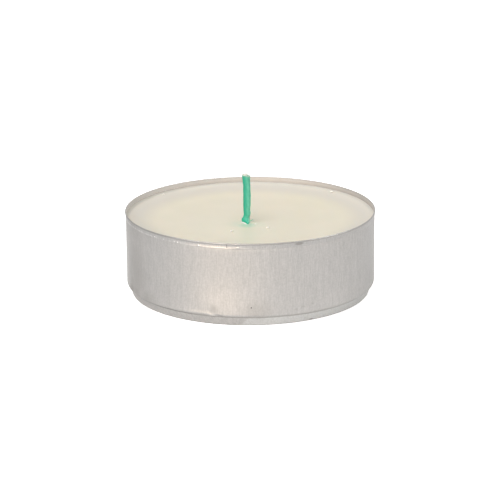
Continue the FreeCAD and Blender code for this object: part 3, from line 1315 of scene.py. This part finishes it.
@dataclass(frozen=True)
class WaxMarks:
    """Small shapes on the wax's top: the collar and the crescent lie round the wick."""

    collar_radius: float = 0.9
    collar_height: float = 0.24
    collar_fade: float = 0.35
    crescent_radius: float = 1.35
    crescent_height: float = 0.2
    crescent_width: float = 0.28
    crescent_bearing: float = -0.45
    crescent_spread: float = 0.6
    dip_place: Pair = (4.5, 6.0)
    dip_size: Pair = (5.0, 7.0)
    dip_depth: float = 0.16
    wave_height: float = 0.02
    # Radians per millimetre and where they start, along X and Y
    waves_x: Pair = (0.55, 0.8)
    waves_y: Pair = (0.42, -0.5)
    ridge_from: Pair = (-13.2, 23.2)
    ridge_to: Pair = (-5.6, 27.4)
    ridge_height: float = 0.05
    ridge_width: float = 0.4

    def relief(self, x: np.ndarray, y: np.ndarray) -> np.ndarray:
        """Height of the middle's marks: a collar and a crescent at the wick, a dip and waves.

        Args:
            x: Places along X.
            y: Places along Y.

        Returns:
            The height to add.
        """
        wick_x, wick_y = WICK_AXIS
        from_wick = np.hypot(x - wick_x, y - wick_y)
        outside = np.clip(from_wick - self.collar_radius, 0.0, None)
        collar = self.collar_height * np.exp(-outside / self.collar_fade)
        bearing = np.arctan2(x - wick_x, wick_y - y)
        crescent = self.crescent_height * bell(from_wick - self.crescent_radius, self.crescent_width)
        crescent = crescent * bell(bearing - self.crescent_bearing, self.crescent_spread)
        dip = bell(x - self.dip_place[0], self.dip_size[0]) * bell(y - self.dip_place[1], self.dip_size[1])
        along_x = np.sin(x * self.waves_x[0] + self.waves_x[1])
        along_y = np.cos(y * self.waves_y[0] + self.waves_y[1])
        return collar + crescent - self.dip_depth * dip + self.wave_height * along_x * along_y

    def ridge(self, x: np.ndarray, y: np.ndarray) -> np.ndarray:
        """Height of the low ridge at the back: a bell across its line and along it.

        Args:
            x: Places along X.
            y: Places along Y.

        Returns:
            The height to add.
        """
        start = np.array(self.ridge_from)
        line = np.array(self.ridge_to) - start
        length = np.linalg.norm(line)
        along = ((x - start[0]) * line[0] + (y - start[1]) * line[1]) / length
        across = ((y - start[1]) * line[0] - (x - start[0]) * line[1]) / length
        return self.ridge_height * bell(along - length / 2.0, length / 2.0) * bell(across, self.ridge_width)


@dataclass
class WaxFill:
    """The cast wax, with its meniscus, sloping ring, shallow dish and marks by the wick."""

    cup: CupSizes
    dent: Dent
    marks: WaxMarks = WaxMarks()
    below_rim: float = 1.33
    meniscus_climb: float = 0.3
    meniscus_lean: float = 35.0
    meniscus_round: float = 1.0
    meniscus_reach: float = 1.4
    meniscus_wobble: Ripple = Ripple(0.08, (3, 7, 13, 22, 47), 21)
    ring_slope: float = 8.05
    dish_corner: float = 18.6
    dish_round: float = 100.0
    clearance: float = 0.02
    top_arc_steps: int = 11
    top_spacing: float = 0.3
    side_spacing: float = 1.2
    # Rounds of the corners below the top, and how far these stay inside the cup
    low_rounds: tuple[float, ...] = (0.2, 0.2, 0.4, 0.1, 0.5)
    low_inset: float = 0.3
    floor_gap: float = 0.05
    # Radii between which the middle's marks fade out
    marks_fade: Pair = (24.0, 27.5)
    # How far inside the bore the side's push by the dent begins and is full, how far
    # below the middle it ends, and how much room it leaves
    side_starts: Pair = (0.8, 0.3)
    side_ends: Pair = (1.5, 0.1)
    dent_room: float = 0.05
    columns: int = 420

    @property
    def edge_height(self) -> float:
        """Where the wax ends on the bore."""
        return self.cup.height - self.below_rim

    @property
    def ring_radius(self) -> float:
        """Where the meniscus would start without its round."""
        return self.cup.bore_radius - self.meniscus_climb * math.tan(math.radians(self.meniscus_lean))

    @property
    def middle_height(self) -> float:
        """Height of the flat middle."""
        fall = (self.ring_radius - self.dish_corner) * math.tan(math.radians(self.ring_slope))
        return self.edge_height - self.meniscus_climb - fall

    def top(self) -> np.ndarray:
        """The outline of the top, from the bore to the axis."""
        corners = [
            (self.cup.bore_radius - self.clearance, self.edge_height, 0.0),
            (self.ring_radius, self.edge_height - self.meniscus_climb, self.meniscus_round),
            (self.dish_corner, self.middle_height, self.dish_round),
            (0.0, self.middle_height, 0.0),
        ]
        return with_spacing(rounded_outline(corners, self.top_arc_steps), self.top_spacing)

    def section(self) -> np.ndarray:
        """The closed section, from the middle of the bottom up the bore and over the top.

        Returns:
            Radius and height of each point.
        """
        cup = self.cup
        floor = cup.panel_rise + cup.sheet
        ring_floor = cup.sheet + self.floor_gap
        bore = cup.bore_radius - self.clearance
        corners = [
            (cup.ring_inner - cup.panel_rise, floor),
            (cup.ring_inner, ring_floor),
            (cup.foot_radius - self.low_inset, ring_floor),
            (cup.crease_radius - self.low_inset, cup.shoulder_height),
            (bore, cup.shoulder_height + self.low_inset),
        ]
        rounded = [(*corner, turn) for corner, turn in zip(corners, self.low_rounds)]
        side = rounded_outline([(0.0, floor, 0.0), *rounded, (bore, self.edge_height, 0.0)])
        return np.concatenate([with_spacing(side, self.side_spacing), self.top()[1:]])

    def marked(self, x: np.ndarray, y: np.ndarray) -> np.ndarray:
        """Height that the marks add; those of the middle fade out before the meniscus."""
        inside = 1.0 - smooth_step(np.hypot(x, y), *self.marks_fade)
        return inside * self.marks.relief(x, y) + self.marks.ridge(x, y)

    def surface_height(self, x: np.ndarray, y: np.ndarray) -> np.ndarray:
        """Height of the top at some places."""
        outline = self.top()[::-1]
        return np.interp(np.hypot(x, y), outline[:, 0], outline[:, 1]) + self.marked(x, y)

    def rings(self) -> np.ndarray:
        """The section turned round the axis, with the meniscus's wobble and the marks.

        Returns:
            Points as (rings, columns, 3).
        """
        bore = self.cup.bore_radius
        middle = self.middle_height
        section = self.section()
        azimuth = full_turn(self.columns, -math.pi)
        radius, height = np.broadcast_arrays(section[:, :1], section[:, 1:])
        at_side = smooth_step(radius, bore - self.side_starts[0], bore - self.side_starts[1])
        on_top = smooth_step(height, middle - self.side_ends[0], middle - self.side_ends[1])
        pushed = self.dent.out(azimuth, height, self.cup.wall_radius) - self.dent_room
        radius = radius + at_side * (1.0 - on_top) * pushed
        at_edge = on_top * smooth_step(radius, bore - self.meniscus_reach, bore)
        lift = at_edge * self.meniscus_wobble.at(azimuth)
        points = around_axis(radius, height, azimuth)
        points[..., 2] += lift + on_top * self.marked(points[..., 0], points[..., 1])
        return points

    def build(self, material: bpy.types.Material) -> bpy.types.Object:
        """Makes the wax in its finish."""
        return make_piece("wax_fill", [self.rings()], material, Node.WAX)


@dataclass
class Wick:
    """The waxed braid: two lobes with a groove, spread at its root and cut off flat."""

    bottom: float
    top: float
    wax_top: float
    half_depth: float = 0.74
    # The half width that goes with that half depth
    usual_half_width: float = 0.84
    groove_depth: float = 0.05
    groove_spread: float = 20.0
    groove_starts: Pair = (-0.02, 0.06)
    back_groove: float = 150.0
    # Size of the plait's waves, how many there are round it and how they turn on the way up
    plait: tuple[Triple, ...] = ((0.018, 3.0, 26.0), (0.014, 5.0, -41.0))
    foot_reach: float = 1.1
    foot_bearing: float = -62.0
    foot_spread: float = 38.0
    foot_height: float = 0.11
    tip_drop: float = 0.12
    tip_round: float = 0.2
    tip_rows: int = 10
    lobe_edge: float = -0.6
    lobe_fade: float = 0.1
    lobe_starts: Pair = (0.9, 1.0)
    lobe_drop: float = 0.32
    rows: int = 150
    columns: int = 72
    smoothing: int = 5
    # Share of the standing length, left edge and right edge from the centre
    edges: tuple[Triple, ...] = (
        (-0.20, -0.84, 0.84),
        (0.00, -0.94, 0.90),
        (0.023, -1.05, 0.95),
        (0.054, -1.24, 0.84),
        (0.096, -1.00, 0.75),
        (0.127, -0.66, 0.87),
        (0.148, -0.57, 0.92),
        (0.189, -0.58, 1.08),
        (0.262, -0.72, 0.84),
        (0.355, -0.70, 1.03),
        (0.522, -0.71, 1.05),
        (0.667, -0.70, 1.02),
        (0.75, -0.70, 0.97),
        (0.834, -0.80, 0.90),
        (0.948, -0.93, 0.95),
        (1.00, -0.95, 0.94),
    )
    # Share of the standing length and the groove's bearing from +X, in degrees
    groove: tuple[Pair, ...] = (
        (0.00, -26.0),
        (0.10, -32.0),
        (0.19, -38.0),
        (0.38, -40.0),
        (0.56, -48.0),
        (0.63, -42.0),
        (0.71, -38.0),
        (0.96, -46.0),
    )
    # The same for the painted highlights on the backs of the lower and the upper strand
    lower_strand: tuple[Pair, ...] = (
        (0.00, -44.0),
        (0.10, -54.0),
        (0.19, -66.0),
        (0.38, -60.0),
        (0.60, -66.0),
    )
    upper_strand: tuple[Pair, ...] = ((0.56, -62.0), (0.71, -60.0), (0.96, -70.0))
    strand_change: Pair = (0.53, 0.64)
    strand_spread: float = 33.0
    strand_starts: Pair = (0.02, 0.2)
    # Where the foot's spread ends, and the radians from the groove where its painted highlight starts
    foot_ends: Pair = (0.02, 0.16)
    foot_highlight_starts: Pair = (-0.75, -0.25)
    # Radians from the groove where the right lobe's lighter green, painted light, starts and ends
    lit_lobe_starts: Pair = (-0.05, 0.12)
    lit_lobe_ends: Pair = (1.2, 1.9)
    # Where the cream cut end starts: places along X and heights, in millimetres
    cut_ends: Pair = (-0.72, -0.52)
    cut_starts: Pair = (27.68, 27.83)
    # Where the painted highlight round the tip starts, and its strength
    tip_starts: Pair = (0.94, 0.985)
    tip_highlight: float = 0.62
    # Painted light in the cream colour on the foot's right side: shares of the length where it ends, radians
    # where it starts, and its strength
    foot_light_ends: Pair = (0.09, 0.2)
    foot_light_starts: Pair = (-0.45, 0.25)
    foot_light_strength: float = 0.34

    @property
    def tip(self) -> float:
        """Height of the visible tip, a little below the CAD solid's."""
        return self.top - self.tip_drop

    def _along(self, share: np.ndarray, stops: Sequence[Sequence[float]], column: int = 1) -> np.ndarray:
        """A table read at each share, with its corners smoothed by a mean of some rings.

        Args:
            share: Shares of the standing length, as a column.
            stops: The table, whose first column is the share.
            column: The column to read.

        Returns:
            The values, as a column.
        """
        table = np.array(stops)
        values = np.interp(share[:, 0], table[:, 0], table[:, column])
        window = np.full(self.smoothing, 1.0 / self.smoothing)
        padded = np.pad(values, len(window) // 2, mode="edge")
        return np.convolve(padded, window, mode="valid")[:, None]

    def levels(self) -> tuple[np.ndarray, np.ndarray]:
        """Height of each ring, and how much of its full size it has.

        The rings close at the bottom, and at the top along a quarter turn: the height
        follows its sine and the size the root of its cosine.

        Returns:
            Heights and sizes, as columns.
        """
        shoulder = self.tip - self.tip_round
        quarter = np.linspace(0.0, math.pi / 2.0, self.tip_rows + 1)[1:]
        straight = np.linspace(self.bottom, shoulder, self.rows)
        heights = np.concatenate([straight[:1], straight, shoulder + self.tip_round * np.sin(quarter)])
        size = np.concatenate([[0.0], np.ones(self.rows), np.sqrt(np.cos(quarter))])
        size[-1] = 0.0
        return heights[:, None], size[:, None]

    def rings(self) -> tuple[np.ndarray, dict[str, np.ndarray]]:
        """Rings up the braid and the masks that its finish reads.

        A ring is an oval between its two edges less a bell at each groove, with small
        slanting waves of the plait. The foot moves forward at the right, and the right
        lobe's tip is lower.

        Returns:
            Points as (rings, columns, 3), and the masks by name.
        """
        heights, size = self.levels()
        share = (heights - self.wax_top) / (self.tip - self.wax_top)
        angle = full_turn(self.columns)
        from_groove = wrapped(angle - np.radians(self._along(share, self.groove)))
        from_back = wrapped(from_groove - math.radians(self.back_groove))
        spread = math.radians(self.groove_spread)
        grooves = bell(from_groove, spread) + bell(from_back, spread)
        depth = self.groove_depth * smooth_step(share, *self.groove_starts)
        plait = sum(wave * np.sin(order * angle + turn * share) for wave, order, turn in self.plait)
        reach = size * (1.0 - depth * grooves + plait)
        left = self._along(share, self.edges, 1)
        right = self._along(share, self.edges, 2)
        half_width = (right - left) / 2.0
        half_depth = self.half_depth * np.sqrt(half_width / self.usual_half_width)
        x = WICK_AXIS[0] + (left + right) / 2.0 + half_width * reach * np.cos(angle)
        y = WICK_AXIS[1] + half_depth * reach * np.sin(angle)
        from_foot = wrapped(angle - math.radians(self.foot_bearing))
        low = 1.0 - smooth_step(share, 0.0, self.foot_height)
        y = y - size * self.foot_reach * low * bell(from_foot, math.radians(self.foot_spread))
        on_right = smooth_step(x, self.lobe_edge - self.lobe_fade, self.lobe_edge + self.lobe_fade)
        z = heights - self.lobe_drop * on_right * smooth_step(share, *self.lobe_starts)
        points = points_of(x, y, z)
        return points, self._masks(points, angle, share, from_groove)

    def _masks(
        self, points: np.ndarray, angle: np.ndarray, share: np.ndarray, from_groove: np.ndarray
    ) -> dict[str, np.ndarray]:
        """Painted highlights on the strand backs and the foot, painted light on the right lobe, and the
        cream cut end with painted light round the tip and on the foot.

        Args:
            points: The rings' points.
            angle: Angles of a ring's points, in radians.
            share: Share of the standing length at each ring.
            from_groove: Angle of each point from the groove, in radians.

        Returns:
            Each mask by its name, from 0 to 1.
        """
        spread = math.radians(self.strand_spread)
        change = smooth_step(share, *self.strand_change)
        lower = wrapped(angle - np.radians(self._along(share, self.lower_strand)))
        upper = wrapped(angle - np.radians(self._along(share, self.upper_strand)))
        # Painted highlights on the strand backs and on the foot's right side
        backs = bell(lower, spread) * (1.0 - change) + bell(upper, spread) * change
        foot = 1.0 - smooth_step(share, *self.foot_ends)
        foot_highlight = foot * smooth_step(from_groove, *self.foot_highlight_starts)
        wick_highlight = np.maximum(backs * smooth_step(share, *self.strand_starts), foot_highlight)
        # Painted light: a lighter green on the right lobe
        in_lobe = smooth_step(from_groove, *self.lit_lobe_starts)
        lighter_green = in_lobe * (1.0 - smooth_step(from_groove, *self.lit_lobe_ends)) * (1.0 - foot)
        on_left = 1.0 - smooth_step(points[..., 0], *self.cut_ends)
        cut_end = on_left * smooth_step(points[..., 2], *self.cut_starts)
        # Painted light in the cream colour round the tip and on the foot's right side
        tip = smooth_step(share, *self.tip_starts) * self.tip_highlight
        at_root = 1.0 - smooth_step(share, *self.foot_light_ends)
        foot_light = at_root * smooth_step(from_groove, *self.foot_light_starts) * self.foot_light_strength
        bare_and_lit = np.maximum(np.maximum(cut_end, tip), foot_light)
        masks = {"wick_highlight": np.clip(wick_highlight, 0.0, 1.0), "lighter_green": lighter_green, "bare_and_lit": bare_and_lit}
        return {name: np.broadcast_to(mask, points.shape[:2]) for name, mask in masks.items()}

    def build(self, material: bpy.types.Material) -> bpy.types.Object:
        """Makes the wick in its finish."""
        rings, masks = self.rings()
        return make_piece("braided_wick", [rings], material, Node.WICK, masks)


@dataclass
class WickFibre:
    """A loose fibre that sticks out of the wick's root."""

    wax_top: float
    start: Triple = (-0.15, -0.95, 0.34)
    end: Triple = (0.70, -0.95, 0.68)
    thickness: float = 0.08
    # How much thinner its end is, and the power that rounds its two ends
    thinning: float = 0.5
    end_power: float = 0.25
    sag: float = 0.06
    lighter_green: float = 0.8
    rows: int = 16
    columns: int = 12

    def rings(self) -> np.ndarray:
        """Rings along a line that sags as a half sine wave and thins towards its end.

        Returns:
            Points as (rings, columns, 3).
        """
        share = np.linspace(0.0, 1.0, self.rows)[:, None]
        first = np.array(self.start)
        last = np.array(self.end)
        line = first + (last - first) * share
        line = line + np.array([0.0, 0.0, self.wax_top])
        line[:, 2:] -= self.sag * np.sin(math.pi * share)
        way = (last - first) / np.linalg.norm(last - first)
        side = np.array([0.0, 1.0, 0.0])
        above = np.cross(way, side)
        angle = full_turn(self.columns)[:, :, None]
        size = self.thickness * (1.0 - self.thinning * share) * np.sin(math.pi * share) ** self.end_power
        size[[0, -1]] = 0.0
        around = side * np.cos(angle) + above * np.sin(angle)
        return line[:, None, :] + size[:, :, None] * around

    def build(self, material: bpy.types.Material) -> bpy.types.Object:
        """Makes the fibre.

        Args:
            material: The wick's finish.

        Returns:
            The fibre.
        """
        rings = self.rings()
        plain = np.zeros(rings.shape[:2])
        masks = {"wick_highlight": plain, "lighter_green": plain + self.lighter_green, "bare_and_lit": plain}
        return make_piece("wick_fibre", [rings], material, masks=masks)


@dataclass
class WaxCrumbs:
    """Small bits of wax that lie on the set surface."""

    fill: WaxFill
    # Place along X and Y, and size, in millimetres
    places: tuple[Triple, ...] = (
        (-4.31, -8.79, 0.33),
        (4.01, -6.11, 0.32),
        (1.20, -2.63, 0.16),
        (19.6, 19.9, 0.32),
        (-20.7, 18.9, 0.22),
    )
    # Seed of the first crumb; each next one has the next number
    seed: int = 31
    blob_rows: int = 15
    blob_columns: int = 24
    blob_height: float = 0.85
    # How far a crumb's middle is above the wax, as a share of its height
    blob_lift: float = 0.5
    turn_range: float = 6.0
    twofold: float = 0.22
    threefold: float = 0.15
    curl_places: tuple[Pair, ...] = (
        (-2.13, -0.80),
        (-1.78, -1.82),
        (-1.20, -2.42),
        (-0.74, -2.77),
    )
    curl_size: float = 0.16
    curl_flatness: float = 0.8
    curl_rows: int = 24
    curl_columns: int = 16

    def blob(self, x: float, y: float, size: float, seed: int) -> np.ndarray:
        """A ball whose radius swings twice and three times round it, at seeded angles.

        Args:
            x: Its place along X.
            y: Its place along Y.
            size: Its radius.
            seed: Seed of the angles.

        Returns:
            Its rings from the bottom to the top, as (rings, columns, 3).
        """
        shift = np.random.default_rng(seed).uniform(0.0, self.turn_range, 2)
        rise = np.linspace(-math.pi / 2.0, math.pi / 2.0, self.blob_rows)[:, None]
        angle = full_turn(self.blob_columns)
        twofold = self.twofold * np.sin(2.0 * angle + shift[0]) * np.cos(rise)
        threefold = self.threefold * np.sin(3.0 * angle + shift[1])
        reach = size * (1.0 + twofold + threefold) * np.cos(rise)
        lift = size * self.blob_height * (np.sin(rise) + self.blob_lift)
        height = self.fill.surface_height(x, y) + lift
        return points_of(x + reach * np.cos(angle), y + reach * np.sin(angle), height)

    def curl(self) -> np.ndarray:
        """A thin lifted edge of wax beside the wick: ovals along a cubic through its places.

        Returns:
            Its rings, as (rings, columns, 3).
        """
        stops = np.array(self.curl_places)
        share = np.linspace(0.0, 1.0, self.curl_rows)
        at = np.linspace(0.0, 1.0, len(stops))
        weights = np.polynomial.polynomial.polyfit(at, stops, len(stops) - 1)
        x, y = np.polynomial.polynomial.polyval(share, weights)
        size = self.curl_size * np.sqrt(np.sin(math.pi * share))
        angle = full_turn(self.curl_columns)
        way = np.arctan2(np.gradient(y), np.gradient(x))[:, None]
        side = size[:, None] * np.cos(angle)
        above = size[:, None] * np.sin(angle) * self.curl_flatness
        ground = self.fill.surface_height(x, y)[:, None]
        across_x = x[:, None] - side * np.sin(way)
        across_y = y[:, None] + side * np.cos(way)
        return points_of(across_x, across_y, ground + above)[:, ::-1]

    def build(self, material: bpy.types.Material) -> bpy.types.Object:
        """Makes the crumbs and the curl in their finish."""
        blobs = [self.blob(*place, self.seed + index) for index, place in enumerate(self.places)]
        return make_piece("wax_crumbs", [*blobs, self.curl()], material)


# The studio


@dataclass(frozen=True)
class Camera:
    """The photograph's camera: its distance, rise and lens, fitted to the cup's outline."""

    distance: float = 0.560
    elevation: float = 16.66
    roll: float = 0.383
    target_height: float = 0.00928
    focal_pixels: float = 2405.0
    frame_pixels: float = 500.0
    centre_x: float = 250.39
    centre_y: float = 250.37
    sensor: float = 36.0
    clip: Pair = (0.01, 20.0)

    def build(self) -> bpy.types.Object:
        """Places the camera and makes it the scene's.

        Returns:
            The camera.
        """
        data = bpy.data.cameras.new("photo_camera")
        data.sensor_width = self.sensor
        data.lens = self.focal_pixels / self.frame_pixels * self.sensor
        middle = self.frame_pixels / 2.0
        data.shift_x = (middle - self.centre_x) / self.frame_pixels
        data.shift_y = (self.centre_y - middle) / self.frame_pixels
        data.clip_start, data.clip_end = self.clip
        camera = add_object("photo_camera", data)
        rise = math.radians(self.elevation)
        height = self.target_height + self.distance * math.sin(rise)
        camera.location = (0.0, -self.distance * math.cos(rise), height)
        camera.rotation_euler = (math.pi / 2.0 - rise, 0.0, 0.0)
        roll = Matrix.Rotation(-math.radians(self.roll), 3, "Z")
        camera.rotation_euler = (camera.rotation_euler.to_matrix() @ roll).to_euler()
        bpy.context.scene.camera = camera
        return camera


@dataclass(frozen=True)
class SoftBox:
    """One area lamp that faces the candle: angles in degrees, sizes in metres, power in watts.

    A card only shows in what reflects it, and a fill only lights matt surfaces.
    """

    name: str
    azimuth: float
    elevation: float
    width: float
    height: float
    power: float
    colour: Triple = (1.0, 1.0, 1.0)
    distance: float = 0.9
    card: bool = False
    fill: bool = False
    target: Triple = (0.0, 0.0, 0.01)

    def build(self) -> bpy.types.Object:
        """Places the lamp.

        Returns:
            The lamp.
        """
        data = bpy.data.lights.new(self.name, "AREA")
        data.shape = "RECTANGLE"
        data.size = self.width
        data.size_y = self.height
        data.energy = self.power
        data.color = self.colour
        lamp = add_object(self.name, data)
        turn = math.radians(self.azimuth)
        rise = math.radians(self.elevation)
        level = math.cos(rise)
        back = Vector((math.sin(turn) * level, -math.cos(turn) * level, math.sin(rise)))
        lamp.location = Vector(self.target) + back * self.distance
        lamp.rotation_euler = (-back).to_track_quat("-Z", "Y").to_euler()
        lamp.visible_diffuse = not self.card
        lamp.visible_glossy = not self.fill
        return lamp


def studio_lamps() -> tuple[SoftBox, ...]:
    """The lamps: a main one high at the left, a fill, a card at the right and low cards in front."""
    return (
        SoftBox("main", -40.0, 46.0, 1.3, 1.3, 11.4, distance=1.3),
        SoftBox("side_card", 86.0, 40.0, 0.25, 0.25, 2.8, (0.95, 1.0, 0.98), card=True),
        SoftBox("fill", 30.0, 74.0, 1.6, 1.4, 8.8, (1.0, 0.98, 0.95), distance=1.3, fill=True),
        SoftBox("warm_card", -25.0, 14.0, 0.4, 0.4, 3.05, (1.0, 0.78, 0.56), card=True),
        SoftBox("left_card", -54.0, 14.0, 0.5, 0.4, 0.6, (1.0, 0.93, 0.88), card=True),
        SoftBox("middle_card", 10.0, 14.0, 0.8, 0.4, 1.65, (1.0, 0.9, 0.79), card=True),
        SoftBox("right_card", 68.0, 14.0, 0.8, 0.4, 1.4, (1.0, 0.88, 0.79), card=True),
    )


@dataclass
class Studio:
    """White floor and surroundings, soft lamps and the camera."""

    floor_size: float = 3.0
    floor_shown: Colour = WHITE
    floor_bounce: Colour = (0.75, 0.75, 0.75, 1.0)
    floor_glow: Colour = (0.68, 0.68, 0.68, 1.0)
    floor_reflected_glow: Colour = (0.08, 0.08, 0.08, 1.0)
    floor_roughness: float = 0.9
    sky_shown: float = 1.0
    sky_reflected: float = 0.7
    sky_light: float = 0.21
    lamps: Sequence[SoftBox] = field(default_factory=studio_lamps)

    def build(self) -> None:
        """Makes everything round the candle."""
        self._floor()
        self._sky()
        for lamp in self.lamps:
            lamp.build()
        Camera().build()
        bpy.context.scene.view_settings.view_transform = "Standard"

    @staticmethod
    def _rays(graph: Graph, *kinds: Ray) -> Any:
        """1 for rays of some kinds and 0 for the others."""
        path = graph.node("ShaderNodeLightPath")
        return graph.greatest(*[path.outputs[kind.value] for kind in kinds])

    def _floor(self) -> None:
        """A large white plane that glows a little for the camera, so its shadow stays faint."""
        half = self.floor_size / 2.0
        mesh = bpy.data.meshes.new("floor")
        corners = [(-half, -half, 0.0), (half, -half, 0.0), (half, half, 0.0), (-half, half, 0.0)]
        mesh.from_pydata(corners, [], [(0, 1, 2, 3)])
        values = {"Roughness": self.floor_roughness, "Specular IOR Level": 0.0, "Emission Strength": 1.0}
        material, graph, shader = new_material("white_floor", values)
        seen = self._rays(graph, Ray.CAMERA, Ray.GLOSSY, Ray.TRANSMISSION)
        glow = graph.mix(self._rays(graph, Ray.GLOSSY), BLACK, self.floor_reflected_glow)
        glow = graph.mix(self._rays(graph, Ray.CAMERA), glow, self.floor_glow)
        colour = graph.mix(seen, self.floor_bounce, self.floor_shown)
        graph.link(shader, {"Base Color": colour, "Emission Color": glow})
        mesh.materials.append(material)
        floor = add_object("floor", mesh)

    def _sky(self) -> None:
        """The world: white where it is seen, a little darker in reflections, soft as a light."""
        world = bpy.data.worlds.new("studio")
        bpy.context.scene.world = world
        world.use_nodes = True
        graph = Graph(world.node_tree)
        shown = (self._rays(graph, Ray.CAMERA, Ray.TRANSMISSION), self.sky_shown - self.sky_light)
        reflected = (self._rays(graph, Ray.GLOSSY), self.sky_reflected - self.sky_light)
        strength = graph.math("ADD", graph.weighted(shown, reflected), self.sky_light)
        background = world.node_tree.nodes["Background"]
        background.inputs["Color"].default_value = WHITE
        graph.link(background, {"Strength": strength})


def main() -> None:
    """Builds the candle's pieces in order, dresses them and sets up the studio."""
    logging.basicConfig(level=logging.INFO, format="%(name)s: %(message)s")
    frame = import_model()
    effects = SharedEffects()
    cup_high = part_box(Node.CUP.value)[1]
    sizes = CupSizes(rim_radius=cup_high.y / MM, height=cup_high.z / MM)
    dent = Dent()
    DrawnCup(sizes, dent).build(DrawnAluminium().material(effects))
    fill = WaxFill(sizes, dent)
    fill.build(CandleWax().material(effects))
    wick_low, wick_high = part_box(Node.WICK.value)
    green = GreenWick().material(effects)
    Wick(wick_low.z / MM, wick_high.z / MM, fill.middle_height).build(green)
    WickFibre(fill.middle_height).build(green)
    WaxCrumbs(fill).build(crumb_wax().material(effects))
    sustainer = frame["nodes"][Node.SUSTAINER.value]
    steel = TinnedSteel().material(effects)
    for material_slot in sustainer.material_slots:
        material_slot.material = steel
    log.info("piece %s: its own CAD solid in %s", sustainer.name, Slot.STEEL.value)
    Studio().build()


if __name__ == "__main__":
    main()
